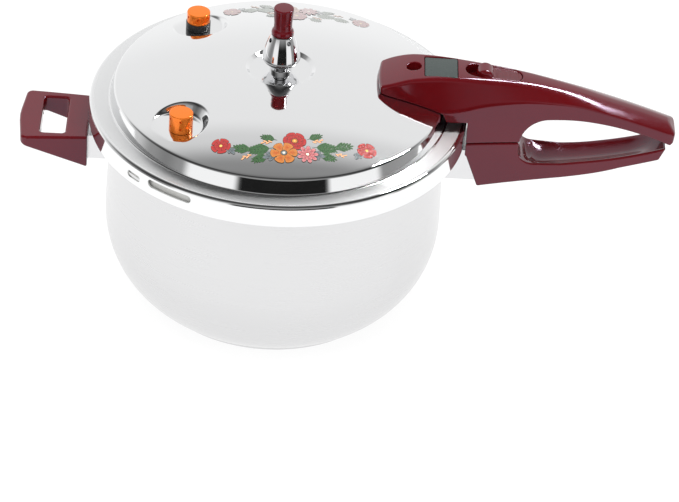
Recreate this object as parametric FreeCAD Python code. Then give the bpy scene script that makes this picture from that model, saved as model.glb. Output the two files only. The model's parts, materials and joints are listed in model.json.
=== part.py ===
import FreeCAD, Part
import math
import os

# Pressure canner: a bellied steel pot with a bayonet lid, a long two-part handle along +X and a
# short helper handle along -X.  Units are millimetres, +Z is up, and the origin is the centre of
# the face that the pot stands on.

V = FreeCAD.Vector
UP = V(0, 0, 1)

# ---------------------------------------------------------------- pot
MOUTH_R = 104.0          # outer radius of the wall just under the rim
RIM_Z = 129.8            # top face of the pot's rim flange
BELLY_BULGE = 4.0        # how far the widest place stands out past the mouth
BELLY_Z = 58.0           # height of the widest place
BELLY_ARC_R = 67.2       # radius of the lower wall's curve, seen from the side
WALL = 1.2               # sheet of the pot
RIM_T = 1.6              # thickness of the rim flange and its lugs
RIM_W = 8.0              # width of the rim flange between the lugs
LUG_W = 5.6              # how far the pot's bayonet lugs stand out past the flange
BASE_H = 5.0             # height of the heat-spreading base
BASE_IN = 25.5           # base cap's edge, in from the mouth's radius
CAP_WALL = 0.8           # sheet of the base cap
BASE_ROUND = 2.0         # rounding of the cap's lower edge

# ---------------------------------------------------------------- bayonet
LUGS = 6
LUG_ANGLE = 26.0         # width of each lug, degrees
LUG_GAP_Z = 0.7          # play between the pot's lugs and the lid's lugs
LID_LUG_T = 1.7          # thickness of the lid's lugs
LUG_CLEAR = 1.0          # radial play between a lid lug's tip and the pot's flange
SKIRT_CLEAR = 1.2        # radial play between a pot lug's tip and the lid's skirt

# ---------------------------------------------------------------- lid
LID_T = 1.2              # sheet of the lid
BRIM_RISE = 10.5         # top of the brim above the pot's rim
BRIM_BEND = 2.5          # outer radius of the bend from brim to skirt
SKIRT_H = 14.5           # height of the skirt
STEP_FOOT_IN = 12.9      # foot of the step wall, in from the brim's edge
STEP_H = 10.0            # height of the step wall
STEP_DRAFT = 2.6         # how far the step wall leans in over its height
DOME_RISE = 16.0         # height of the whole dome above the step
RECESS_R = 19.5          # floor radius of the centre recess
RECESS_DEPTH = 2.9       # depth of the recess below the dome's crown
RECESS_FLARE = 2.8       # how much the recess widens to its rim
SEAT_R = 16.0            # floor radius of a safety valve's pressed seat
SEAT_DEPTH = 2.7         # floor of the seat below the dome at the valve's axis
SEAT_FLARE = 0.55        # widening of a pressed seat per millimetre of height
FRONT_VALVE = (20.5, -135.2)     # axis: in from the dome's shoulder, direction from +X in degrees
REAR_VALVE = (23.9, 132.7)
FRONT_SEAT_SHIFT = (-2.2, 2.5)   # middle of the front seat from its valve's axis
REAR_SEAT_SHIFT = (0.0, 0.0)
FLOAT_INSET = 36.0       # float axis, in from the brim's edge
FLOAT_SEAT_R = 7.0
FLOAT_SEAT_DEPTH = 1.6
SLOT_AZ = (-130.2, -114.8)   # long gasket slot in the skirt, degrees
SLOT_DROP = (3.3, 8.8)       # its upper and lower edge below the brim's top
OVAL_AZ = (-139.2, -133.6)   # short slot beside it
OVAL_DROP = (6.0, 10.5)

# ---------------------------------------------------------------- sealing ring
RING_LIP = 2.8           # thickness of the ring's two lips
RING_CLEAR = 0.25        # play above and below the ring
RING_BACK = 4.4          # thickness of the ring's outer back
RING_SIDE_CLEAR = 1.4    # play between the ring and the skirt
RING_IN = 1.2            # ring's inner edge past the pot's mouth radius
RING_EDGE = 0.6          # slope of the lips' inner edge

# ---------------------------------------------------------------- pressure weight and vent
VENT_R = 4.0             # vent pipe
VENT_BORE_R = 1.5
VENT_FLANGE_R = 7.0
VENT_FLANGE_T = 2.2
VENT_H = 20.8            # pipe top above the recess floor
VENT_DROP = 13.0         # how far the pipe reaches below the recess floor
VENT_MOUTH = 1.0         # bevel at the pipe's mouth
VENT_WASHER_W = 3.5      # width of the rubber washer under the lid
VENT_WASHER_T = 1.5
VENT_NUT = (13.0, 4.0)   # across flats, height
GUARD_R = 12.0           # perforated cup that keeps food out of the pipe
GUARD_H = 9.0
GUARD_WALL = 1.0
GUARD_HUB = (2.0, 4.0)   # wall and height of the hub that grips the pipe
GUARD_GAP = 0.3          # between the cup and the nut
GUARD_SLOTS = 8
GUARD_SLOT_HALF_W = 1.5
GUARD_SLOT_Z = (3.0, 7.0)    # below the cup's top
WEIGHT_GAP = 5.4         # underside of the weight above the recess floor
WEIGHT_R = 12.0
WEIGHT_H = 21.4
WEIGHT_NECK_R = 7.2
WEIGHT_BORE_CLEAR = 0.4
WEIGHT_FOOT_IN = 3.2     # foot's edge, in from the widest radius
WEIGHT_BULGE_H = 4.6     # height of the widest place above the foot
WEIGHT_ROOF = 4.6        # bore's end above the pipe's mouth
WEIGHT_LOW_ARC = (0.75, 1.6)     # in from the widest radius, up from the foot
WEIGHT_HIGH_ARC = (1.1, 7.4)     # in from the widest radius, up from the widest place
STUD_R = 2.2             # stud that carries the grip knob
STUD_H = 10.0
STEAM_HOLE_R = 1.4
STEAM_HOLES = 4
STEAM_HOLE_AZ = -60.0    # direction of the first hole, degrees
STEAM_HOLE_DROP = 0.2    # gap between the holes and the bore's end
KNOB_H = 19.0
KNOB_TOP_R = 6.4
KNOB_WAIST_R = 5.6
KNOB_FOOT_R = 7.1
KNOB_FOOT_H = 1.8
KNOB_NECK_H = 5.0        # end of the foot's slope
KNOB_WAIST_H = 7.0
KNOB_EDGE = 0.7          # bevel of the top
NEEDLE_DROP = 2.2        # needle's tip below the pipe's mouth
NEEDLE_TIP_R = 0.4
NEEDLE_DISC_T = 1.5

# ---------------------------------------------------------------- safety valves
VALVE_CAP_R = 7.45
VALVE_CAP_TOP = 12.3     # cap top above the pressed seat
VALVE_FLANGE_R = 6.6
VALVE_NECK_R = 5.0
VALVE_STEM_R = 4.0
VALVE_BORE_R = 1.5
VALVE_WELL_R = 3.6       # well in the neck, where the poppet seats
GASKET_T = 0.8
VALVE_FLANGE_T = 2.0
VALVE_NECK_H = 4.2
VALVE_WELL_DEPTH = 4.0
VALVE_STEM_DROP = 6.0    # stem's end below the lid's inner face
VALVE_NUT = (12.0, 3.5)  # across flats, height
VALVE_CAP_ROOF = 1.3     # thickness of the cap's top
VALVE_CAP_LIFT = 0.1     # cap's lower edge above the pressed seat
VALVE_CAP_EDGE = 0.6     # bevel of the cap's top
VALVE_ROOM = 1.0         # spring chamber's radius past the neck
CAP_HOLE_R = 0.8
CAP_HOLES = 6            # holes in each row of a cap
CAP_HOLE_AZ = -150.0     # direction of the first hole, degrees
FRONT_CAP_ROWS = (1.6, 7.0)  # rows of holes below the chamber's ceiling
REAR_CAP_ROWS = (1.4,)
POPPET_T = 1.4
POPPET_PLAY = 0.3        # radial play of the poppet's disc and pin
POPPET_PIN = 2.0         # length of the pin under the disc
POPPET_LIFT = 0.05       # disc above the well's floor, at rest
COLLAR_H = 5.2           # black collar under the rear cap
COLLAR_R = 7.9
SPRING_COIL_R = 2.4
SPRING_WIRE_R = 0.35
SPRING_TURNS = 3
SPRING_GAP = 0.02

# ---------------------------------------------------------------- float
FLOAT_GUIDE_R = 3.5
FLOAT_GUIDE_H = 4.0      # guide's top above the pressed seat
FLOAT_FLANGE = (6.0, 2.0)    # radius and thickness of the guide's flange
FLOAT_NUT = (10.0, 2.8)  # across flats, height
FLOAT_PIN_R = 2.0
FLOAT_PIN_FOOT = (4.5, 2.0)  # radius and thickness of the pin's foot
FLOAT_PIN_H = 4.0        # pin's top above the guide, at rest
FLOAT_RISE = 4.0
FLOAT_SEAL = (4.2, 1.5)  # radius and thickness
FLOAT_SEAL_GAP = 0.15    # left between the seal and the flange when the float is up
FLOAT_CAP = (3.6, 6.8)   # radius and height of the red cap on the pin
GRIP_FIT = 0.02          # radial clearance of a part that grips a pin

# ---------------------------------------------------------------- long handle
# Each x is measured from the brim's edge and each height from the brim's top.
# station: x, half width, height of the side's upper edge, half width of the top face, height of the top face
HANDLE_STATIONS = [
    (-60.0, 17.4, 15.0, 15.6, 23.4),
    (-50.0, 18.6, 13.0, 17.2, 27.4),
    (-39.0, 19.7, 11.2, 16.6, 30.8),
    (-26.0, 20.7, 10.4, 15.0, 32.1),
    (-13.0, 21.4, 11.2, 13.1, 32.2),
    (-4.0, 20.8, 13.0, 12.2, 31.7),
    (8.0, 19.0, 16.0, 11.0, 30.8),
    (21.0, 17.2, 17.8, 9.5, 29.7),
    (38.0, 15.2, 18.8, 7.8, 27.6),
    (53.0, 13.8, 18.0, 6.7, 24.7),
    (70.0, 12.5, 16.0, 6.2, 20.5),
    (90.0, 12.2, 10.9, 6.1, 14.3),
    (111.0, 12.0, 4.4, 6.1, 7.9),
    (138.0, 11.4, -4.6, 5.9, -1.1),
]
NOSE_X = -58.0           # inner end of the upper handle
NOSE_BULGE = 1.6
NOSE_CORNER = 5.0
NOSE_FLARE = (14.0, 30.0)    # past the nose's corner the plan opens over this length to this half width
LOOP_ARCH = ((38.6, -0.6), (50.3, 5.2), (84.0, 3.4), (129.6, -10.1))   # finger loop's upper edge
TIP_FACE = ((132.0, -8.5), (133.2, -2.8), (128.0, 2.6))    # outer end of the upper handle
LOOP_CORNER_MID = (2.15, -24.6)  # middle of the loop's lower inner corner, x from the loop's inner end
LOOP_FLOOR = ((43.2, -27.6), (61.0, -27.6), (94.0, -22.1), (127.4, -12.4))     # finger loop's lower edge
UNDERSIDE = ((123.6, -21.4), (99.0, -29.0), (81.0, -34.6), (62.0, -38.2), (9.0, -44.4))
FRONT_FACE = ((0.4, -21.1), (-6.0, -21.1))   # lower handle's face next to the pot
LOWER_PLAN_FROM = -14.0  # stations past this one make the lower handle's plan
SPLIT_DROP = 11.5        # parting plane of the two handles below the brim's top
SPLIT_GAP = 0.5
BRIM_GAP = 4.0           # upper handle's edge above the brim
SHOULDER_FIT = 1.0       # handle's clearance outside the dome's shoulder
STEP_FIT = 1.2           # and outside the step's foot
SHELL_GAP = 1.2          # handles' front faces outside the brim
LOOP_X = 33.8            # inner end of the finger loop, from the brim's edge
TIP_X = 133.0            # outer end of the upper handle, from the brim's edge
DOME_FIT = 0.15          # gap between the handle's skirt and the dome
HOLE_R = 4.7             # float's window in the handle top
GUIDE_ROOM = (7.6, 20.0)     # radius and height of the room round the float's guide
PLATE_X = (-29.2, -8.6)  # name plate, from the brim's edge
PLATE_HALF_W = 11.0
PLATE_T = 1.4
PLATE_CLEAR = 0.25
SLOT_X = (-3.5, 33.0)    # slider's slot, from the brim's edge
SLOT_HALF_W = 7.0
SLOT_FLOOR = 25.0        # floor of the slot above the brim's top
SLIDER_X = (3.6, 32.6)
SLIDER_HALF_W = 6.75
SLIDER_LIFT = 0.2        # slider's pad above the slot's floor
SLIDER_DROP = 0.35       # slider's pad below the handle's top face
BUMP_R = 4.6             # thumb bump at the slider's inner end
BUMP_LEAD = 0.3          # how far the bump stands in front of the pad
BUMP_SINK = 1.4          # bump's axis below the handle's top face
BUMP_INSET = 1.4         # bump's ends, in from the pad's sides
RIBS = 9                 # grip ribs on the pad
RIB_ROOM = 12.0          # length of the pad without ribs
RIB_FROM = 10.0          # first rib from the pad's inner end
RIB_SHARE = 0.4          # part of the pitch taken by a groove
RIB_DEPTH = 0.5
RIB_INSET = 1.5
STEM_X = (19.0, 27.0)    # slider's stem through the slot's floor
STEM_HALF_W = 3.8
STEM_ROOM = (0.4, 0.3)   # play of the stem at its ends and sides
NECK_X = (19.5, 26.5)    # cam plate's neck, held in the stem
NECK_H = 3.5             # neck's top above the pocket's roof
CAM_X = (12.5, 27.5)
CAM_Z = (-4.8, 10.2)
CAM_SLOT_FIT = 0.1
CROSS_PIN_Z = 5.7        # cross pin at rest
CROSS_PIN_L = 5.2
LOCK_PIN_TIP = 0.4       # pin's tip above the parting plane, at rest
LOCK_PIN_TOP = 0.5       # pin's top above the cam plate
FORK_FIT = 0.4           # play of the cam plate in the pin's fork
FORK_DEPTH = 0.9         # fork's floor below the cam plate
LEAF_T = 0.4             # leaf spring that steadies the cam plate
LEAF_W = 4.0
LEAF_RISE = 2.0          # leaf's lower edge above the cam plate
LEAF_X = (10.8, 14.0, 24.5, 29.5)
LOCK_TRAVEL = 6.5
LOCK_PIN_DROP = 6.0
LOCK_PIN_X = 17.0
LOCK_PIN_R = 3.0
CROSS_PIN_R = 1.2
CAM_HALF_T = 1.2
POCKET_X = (3.5, 30.0)   # lock pocket
POCKET_HALF_W = 11.0
POCKET_ROOF = 19.0
STRAP_HALF_W = 9.0
STRAP_Z = (12.0, 14.0)
STRAP_END = 9.0
FOOT_X = (-26.0, -12.0)
STRAP_CLEAR = 0.6        # play at the strap's sides
FOOT_RISE = 1.8          # bracket's foot above the strap
FOOT_LOW = 2.0           # foot's lower end before it is fitted to the dome
STRAP_SCREW = (3.5, 5.5)     # x, and to each side
STRAP_SCREW_R = 1.5
STRAP_SCREW_HEAD = (2.9, 2.2)    # radius and height
STRAP_SCREW_L = 7.0      # reach above the strap
FRONT_SCREW_X = -19.0
FRONT_SCREW_R = 2.0
FRONT_SCREW_HEAD = (4.0, 3.0)
FRONT_SCREW_HEAD_Z = 24.5
FRONT_SCREW_TIP = 1.0    # tip above the dome
COVER_T = 2.5            # under cover
COVER_CLEAR = 0.15
COVER_SCREW = (26.5, 7.6)    # x, and to each side
COVER_SCREW_R = 1.2
COVER_SCREW_HEAD = (2.4, 1.4)
COVER_SCREW_L = 6.0      # reach above the cover
COVER_SINK = (2.5, 1.5)  # radius and depth of the sunk heads
BOSS_R = 3.6             # bosses for the under cover's screws
BOSS_TOP = 4.0
BUSH_R = 5.0             # bush that guides the lock pin
BUSH_H = 2.6
LOWER_SCREW = (8.0, 6.5)     # lower handle's screws: x, and to each side
SCREW_R = 2.0
SCREW_HEAD_R = 3.6
SCREW_HEAD_H = 2.2
SCREW_SINK = 0.6         # heads below the lower handle's top face
LOWER_NUT = (7.0, 3.2)   # across flats, height
NUT_THREAD = 1.5         # screw's reach past its nut

# ---------------------------------------------------------------- brackets and helper handle
BRACKET_HALF_W = 13.0
BRACKET_DROP = (43.3, 21.3)  # its lower and upper face below the brim's top
BRACKET_WALL = 1.5
BRACKET_END = 16.0       # end plate's outer face, outside the brim's edge
HELPER_DROP = 20.3       # helper handle's top face below the brim's top
HELPER_INSET = 0.5       # its end next to the pot, in from the brim's edge
HELPER_L = 45.0
HELPER_HALF_W = (24.8, 28.0)
HELPER_DEPTH = (23.0, 5.5)
HELPER_OPEN = (14.5, 30.5)   # window, from the handle's inner end
HELPER_OPEN_HALF_W = 20.5
HELPER_BRACKET_HALF_W = 18.0
HELPER_BRACKET_DROP = (20.0, 3.0)  # below the helper handle's top face
HELPER_BRACKET_IN = 6.5      # how far the bracket reaches into the handle
HELPER_CORNER = 5.0      # rounding of the outer corners in plan
HELPER_BOW = 3.0         # how far the outer end bows out
HELPER_OPEN_CORNER = 4.5
HELPER_SCREW_R = 2.0
HELPER_SCREW_Y = 10.0
HELPER_SCREW_HEAD = (3.6, 2.2)
HELPER_SCREW_RISE = 1.5  # screws above the bracket's middle
HELPER_SCREW_REACH = 6.0     # screw's reach inside the bracket
HELPER_SINK = (3.9, 2.4)     # radius of the sunk heads, and their depth in the window's wall
FIT = 0.1                # general clearance between fixed parts
HALF_FIT = 0.05          # radial clearance of a thread
NUT_FIT = 0.03
SLIDE_FIT = 0.08         # radial clearance of a sliding pin
BRACKET_IN = 5.0         # a bracket starts this far inside the mouth's radius, then is fitted to the wall
SOCKET_W = 1.0           # width of the slot in a screw's head
SOCKET_L = 1.2           # its length, as a part of the head's radius
SOCKET_H = 0.5           # its depth, as a part of the head's height
REACH = 40.0             # more than any part's half width

# ---------------------------------------------------------------- worked out from the sizes above
BELLY_R = MOUTH_R + BELLY_BULGE
BASE_R = MOUTH_R - BASE_IN
RIM_R = MOUTH_R + RIM_W
POT_LUG_R = RIM_R + LUG_W
LID_R = POT_LUG_R + SKIRT_CLEAR + LID_T
BRIM_Z = RIM_Z + BRIM_RISE
BRACKET_Z = (BRIM_Z - BRACKET_DROP[0], BRIM_Z - BRACKET_DROP[1])
HELPER_Z = BRIM_Z - HELPER_DROP
HELPER_IN = LID_R - HELPER_INSET
HELPER_OUT = HELPER_IN + HELPER_L
HELPER_OPEN_X = (HELPER_IN + HELPER_OPEN[0], HELPER_IN + HELPER_OPEN[1])
HELPER_BRACKET_Z = (HELPER_Z - HELPER_BRACKET_DROP[0], HELPER_Z - HELPER_BRACKET_DROP[1])
HELPER_BRACKET_END = HELPER_IN + HELPER_BRACKET_IN
SKIRT_Z = BRIM_Z - SKIRT_H
FOOT_R = LID_R - STEP_FOOT_IN
SHOULDER_R = FOOT_R - STEP_DRAFT
SHOULDER_Z = BRIM_Z + STEP_H
DOME_R = (SHOULDER_R ** 2 + DOME_RISE ** 2) / (2.0 * DOME_RISE)
DOME_CENTRE_Z = SHOULDER_Z + DOME_RISE - DOME_R
RECESS_Z = SHOULDER_Z + DOME_RISE - RECESS_DEPTH
FLOAT_X = LID_R - FLOAT_INSET
SPLIT_Z = BRIM_Z - SPLIT_DROP
FRONT_R = LID_R + SHELL_GAP
LID_LUG_Z = RIM_Z - RIM_T - LUG_GAP_Z - LID_LUG_T
LID_LUG_R = RIM_R + LUG_CLEAR

parts = {}


# ---------------------------------------------------------------- helpers
def dome_z(r, offset=0.0):
    """Height of the dome's outer face at radius r, moved out by offset."""
    return DOME_CENTRE_Z + math.sqrt((DOME_R + offset) ** 2 - r * r)


def line(a, b):
    return Part.LineSegment(a, b).toShape()


def arc(a, mid, b):
    return Part.Arc(a, mid, b).toShape()


def rz(r, z):
    """A point of a lathe outline."""
    return V(r, 0, z)


def solid_of(shape):
    """The single solid of a Boolean result, or all of them."""
    clean = shape.removeSplitter()
    return clean.Solids[0] if len(clean.Solids) == 1 else clean


def turn(edges, at=(0, 0), angle=360.0):
    """Revolve a closed outline of the XZ plane about the Z axis."""
    face = Part.Face(Part.Wire(edges))
    body = face.revolve(V(0, 0, 0), UP, angle)
    body.translate(V(at[0], at[1], 0))
    return body


def lathe(points, at=(0, 0), angle=360.0):
    """Revolve a closed polygon of (r, z) corners."""
    ends = [rz(*p) for p in points]
    edges = [line(ends[i], ends[(i + 1) % len(ends)]) for i in range(len(ends))]
    return turn(edges, at, angle)


def rod(r, z0, z1, at=(0, 0)):
    return Part.makeCylinder(r, z1 - z0, V(at[0], at[1], z0), UP)


def tube(r_out, r_in, z0, z1, at=(0, 0)):
    return rod(r_out, z0, z1, at).cut(rod(r_in, z0 - 1, z1 + 1, at))


def block(x, y, z):
    return Part.makeBox(x[1] - x[0], y[1] - y[0], z[1] - z[0], V(x[0], y[0], z[0]))


def slab(outline, half_w):
    """Extrude a closed outline of the XZ plane to y = -half_w .. half_w."""
    face = Part.Face(Part.Wire(outline))
    face.translate(V(0, -half_w, 0))
    return face.extrude(V(0, 2 * half_w, 0))


def polygon_xz(points):
    ends = [V(x, 0, z) for x, z in points]
    return [line(ends[i], ends[(i + 1) % len(ends)]) for i in range(len(ends))]


def hex_nut(across, z0, z1, hole_r, at=(0, 0)):
    corner = across / math.sqrt(3.0)
    ends = [V(at[0] + corner * math.cos(math.radians(a)), at[1] + corner * math.sin(math.radians(a)), z0)
            for a in range(0, 360, 60)]
    face = Part.Face(Part.makePolygon(ends + ends[:1]))
    return face.extrude(V(0, 0, z1 - z0)).cut(rod(hole_r, z0 - 1, z1 + 1, at))


def obround(x, half_w, z):
    """A slot-shaped prism along X with round ends."""
    left, right = x[0] + half_w, x[1] - half_w
    core = block((left, right), (-half_w, half_w), z)
    ends = [rod(half_w, z[0], z[1], (x_end, 0)) for x_end in (left, right)]
    return core.fuse(ends).removeSplitter()


def ring_sector(r_in, r_out, z0, z1, centre_deg, width_deg):
    body = lathe([(r_in, z0), (r_out, z0), (r_out, z1), (r_in, z1)], angle=width_deg)
    body.rotate(V(0, 0, 0), UP, centre_deg - width_deg / 2.0)
    return body


def lugs(r_in, r_out, z0, z1):
    return [ring_sector(r_in, r_out, z0, z1, 360.0 / LUGS * i, LUG_ANGLE) for i in range(LUGS)]


def polar(r, degrees):
    return (r * math.cos(math.radians(degrees)), r * math.sin(math.radians(degrees)))


def screw_up(at, z_head, z_tip, shank_r, head_r, head_h):
    """A screw along Z: the head starts at z_head and the shank points to z_tip."""
    way = 1.0 if z_tip > z_head else -1.0
    axis = V(0, 0, way)
    head = Part.makeCylinder(head_r, head_h, V(at[0], at[1], z_head), axis)
    shank = Part.makeCylinder(shank_r, abs(z_tip - z_head), V(at[0], at[1], z_head), axis)
    length, deep = head_r * SOCKET_L, head_h * SOCKET_H
    low = z_head - 1 if way > 0 else z_head - deep
    socket = Part.makeBox(length, SOCKET_W, deep + 1, V(at[0] - length / 2, at[1] - SOCKET_W / 2, low))
    return solid_of(head.fuse(shank).cut(socket))


def screw_along_x(x_head, x_tip, y, z, shank_r, head_r, head_h):
    way = 1.0 if x_tip > x_head else -1.0
    axis = V(way, 0, 0)
    head = Part.makeCylinder(head_r, head_h, V(x_head, y, z), axis)
    shank = Part.makeCylinder(shank_r, abs(x_tip - x_head), V(x_head, y, z), axis)
    length, deep = head_r * SOCKET_L, head_h * SOCKET_H
    low = x_head - 1 if way > 0 else x_head - deep
    socket = Part.makeBox(deep + 1, length, SOCKET_W, V(low, y - length / 2, z - SOCKET_W / 2))
    return solid_of(head.fuse(shank).cut(socket))


# ---------------------------------------------------------------- pot
def pot_outline(inset):
    """Edges of the pot's wall from the bottom's edge to under the rim, moved in by inset."""
    low_arc = BELLY_ARC_R - inset
    centre_r = BELLY_R - BELLY_ARC_R
    z_low = BASE_H + inset
    r_low = centre_r + math.sqrt(low_arc ** 2 - (BELLY_Z - z_low) ** 2)
    z_mid = (z_low + BELLY_Z) / 2.0
    r_mid = centre_r + math.sqrt(low_arc ** 2 - (BELLY_Z - z_mid) ** 2)
    top_z = RIM_Z - RIM_T
    rise = top_z - BELLY_Z
    up_arc = (rise ** 2 + BELLY_BULGE ** 2) / (2.0 * BELLY_BULGE)
    z_up = BELLY_Z + rise / 2.0
    r_up = BELLY_R - up_arc + math.sqrt(up_arc ** 2 - (rise / 2.0) ** 2) - inset
    bottom = rz(r_low, z_low)
    widest = rz(BELLY_R - inset, BELLY_Z)
    top = rz(MOUTH_R - inset, top_z)
    return [arc(bottom, rz(r_mid, z_mid), widest), arc(widest, rz(r_up, z_up), top)], bottom, top


def pot_body(inset, z_top):
    """A filled body inside the pot's wall, up to z_top."""
    edges, bottom, top = pot_outline(inset)
    axis_low = rz(0, bottom.z)
    axis_high = rz(0, z_top)
    high = rz(top.x, z_top)
    closing = [line(top, high), line(high, axis_high), line(axis_high, axis_low), line(axis_low, bottom)]
    return turn(edges + closing)


def make_pot():
    outer = pot_body(0.0, RIM_Z)
    flange = rod(RIM_R, RIM_Z - RIM_T, RIM_Z)
    body = outer.fuse([flange] + lugs(MOUTH_R, POT_LUG_R, RIM_Z - RIM_T, RIM_Z))
    body = body.cut(pot_body(WALL, RIM_Z + 1))
    parts["pot_shell"] = solid_of(body)
    cup = lathe([(0, 0), (BASE_R - BASE_ROUND, 0), (BASE_R, BASE_ROUND), (BASE_R, BASE_H), (0, BASE_H)])
    inner_r = BASE_R - CAP_WALL
    core = lathe([(0, CAP_WALL), (inner_r - BASE_ROUND, CAP_WALL), (inner_r, CAP_WALL + BASE_ROUND),
                  (inner_r, BASE_H), (0, BASE_H)])
    parts["base_core_disc"] = core
    parts["base_cap"] = solid_of(cup.cut(core))


def make_pot_bracket():
    end = LID_R + BRACKET_END
    low, high = BRACKET_Z
    inner = end - BRACKET_WALL
    body = block((MOUTH_R - BRACKET_IN, end), (-BRACKET_HALF_W, BRACKET_HALF_W), BRACKET_Z)
    hollow_half = BRACKET_HALF_W - BRACKET_WALL
    body = body.cut(block((0, inner), (-hollow_half, hollow_half), (low + BRACKET_WALL, high - BRACKET_WALL)))
    for at in lower_screw_spots():
        body = body.cut(rod(SCREW_R + FIT, high - BRACKET_WALL - 1, high + 1, at))
    body = body.cut(pot_body(0.0, RIM_Z))
    parts["pot_handle_bracket"] = solid_of(body)


# ---------------------------------------------------------------- lid
def lid_outline(offset):
    """Closed outline under the lid's outer face (offset 0) or inner face (offset LID_T)."""
    radius = DOME_R - offset
    floor_z = RECESS_Z - offset
    rim_r = RECESS_R + RECESS_FLARE - offset * 0.3
    rim_z = DOME_CENTRE_Z + math.sqrt(radius ** 2 - rim_r ** 2)
    recess_r = RECESS_R - offset * 0.3
    shoulder_r = SHOULDER_R - offset
    shoulder_z = DOME_CENTRE_Z + math.sqrt(radius ** 2 - shoulder_r ** 2)
    mid_r = (rim_r + shoulder_r) / 2.0
    mid_z = DOME_CENTRE_Z + math.sqrt(radius ** 2 - mid_r ** 2)
    foot_r = FOOT_R - offset
    brim_z = BRIM_Z - offset
    side_r = LID_R - offset
    bend = BRIM_BEND - offset
    bend_mid = bend * (1.0 - math.sqrt(0.5))
    low = SKIRT_Z - (1.0 if offset else 0.0)
    p = [rz(0, low), rz(0, floor_z), rz(recess_r, floor_z), rz(rim_r, rim_z), rz(shoulder_r, shoulder_z),
         rz(foot_r, brim_z), rz(side_r - bend, brim_z), rz(side_r, brim_z - bend), rz(side_r, low)]
    return [line(p[0], p[1]), line(p[1], p[2]), line(p[2], p[3]), arc(p[3], rz(mid_r, mid_z), p[4]),
            line(p[4], p[5]), line(p[5], p[6]), arc(p[6], rz(side_r - bend_mid, brim_z - bend_mid), p[7]),
            line(p[7], p[8]), line(p[8], p[0])]


def seat_cone(at, floor_z, floor_r, offset):
    """What a pressed seat takes out of the dome; offset thickens it for the inner face."""
    height = 30.0
    low = floor_z - offset
    r_low = floor_r + offset
    return Part.makeCone(r_low, r_low + SEAT_FLARE * height, height, V(at[0], at[1], low), UP)


def seats():
    """Axis of what stands in each pressed seat, with the seat's floor height, floor radius and middle."""
    rows = []
    for (inset, azimuth), shift in ((FRONT_VALVE, FRONT_SEAT_SHIFT), (REAR_VALVE, REAR_SEAT_SHIFT)):
        r = SHOULDER_R - inset
        x, y = polar(r, azimuth)
        rows.append(((x, y), dome_z(r) - SEAT_DEPTH, SEAT_R, (x + shift[0], y + shift[1])))
    float_at = (FLOAT_X, 0.0)
    rows.append((float_at, dome_z(FLOAT_X) - FLOAT_SEAT_DEPTH, FLOAT_SEAT_R, float_at))
    return rows


def lid_solid(offset):
    body = turn(lid_outline(offset))
    for _, floor_z, floor_r, middle in seats():
        body = body.cut(seat_cone(middle, floor_z, floor_r, offset))
    return body


def skirt_slot(azimuth, drop):
    """A round-ended slot through the skirt."""
    high, low = BRIM_Z - drop[0], BRIM_Z - drop[1]
    r = (high - low) / 2.0
    end = math.degrees(r / LID_R)
    middle = (azimuth[0] + azimuth[1]) / 2.0
    width = azimuth[1] - azimuth[0] - 2.0 * end
    body = ring_sector(LID_R - 6, LID_R + 2, low, high, middle, width)
    ends = []
    for a in (azimuth[0] + end, azimuth[1] - end):
        x, y = polar(LID_R - 6, a)
        ends.append(Part.makeCylinder(r, 8, V(x, y, (high + low) / 2.0), V(x, y, 0)))
    return body.fuse(ends)


def make_lid():
    shell = lid_solid(0.0).cut(lid_solid(LID_T))
    lug_ring = lugs(LID_LUG_R, LID_R - LID_T / 2.0, LID_LUG_Z, LID_LUG_Z + LID_LUG_T)
    shell = shell.fuse(lug_ring)
    holes = [rod(VENT_R + FIT, RECESS_Z - 10, RECESS_Z + 5)]
    for at, floor_z, _, _ in seats()[:2]:
        holes.append(rod(VALVE_STEM_R + FIT, floor_z - 10, floor_z + 5, at))
    holes.append(rod(FLOAT_GUIDE_R + FIT, RECESS_Z - 30, RECESS_Z + 5, (FLOAT_X, 0)))
    shell = shell.cut(Part.makeCompound(holes))
    shell = shell.cut(skirt_slot(SLOT_AZ, SLOT_DROP)).cut(skirt_slot(OVAL_AZ, OVAL_DROP))
    parts["lid_shell"] = solid_of(shell)


def make_sealing_ring():
    low = RIM_Z + RING_CLEAR
    high = BRIM_Z - LID_T - RING_CLEAR
    inner = MOUTH_R + RING_IN
    outer = LID_R - LID_T - RING_SIDE_CLEAR
    groove = outer - RING_BACK
    lip_low, lip_high = low + RING_LIP, high - RING_LIP
    parts["sealing_ring"] = lathe([(inner, low), (outer, low), (outer, high), (inner, high),
                                   (inner + RING_EDGE, lip_high), (groove, lip_high),
                                   (groove, lip_low), (inner + RING_EDGE, lip_low)])


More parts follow.
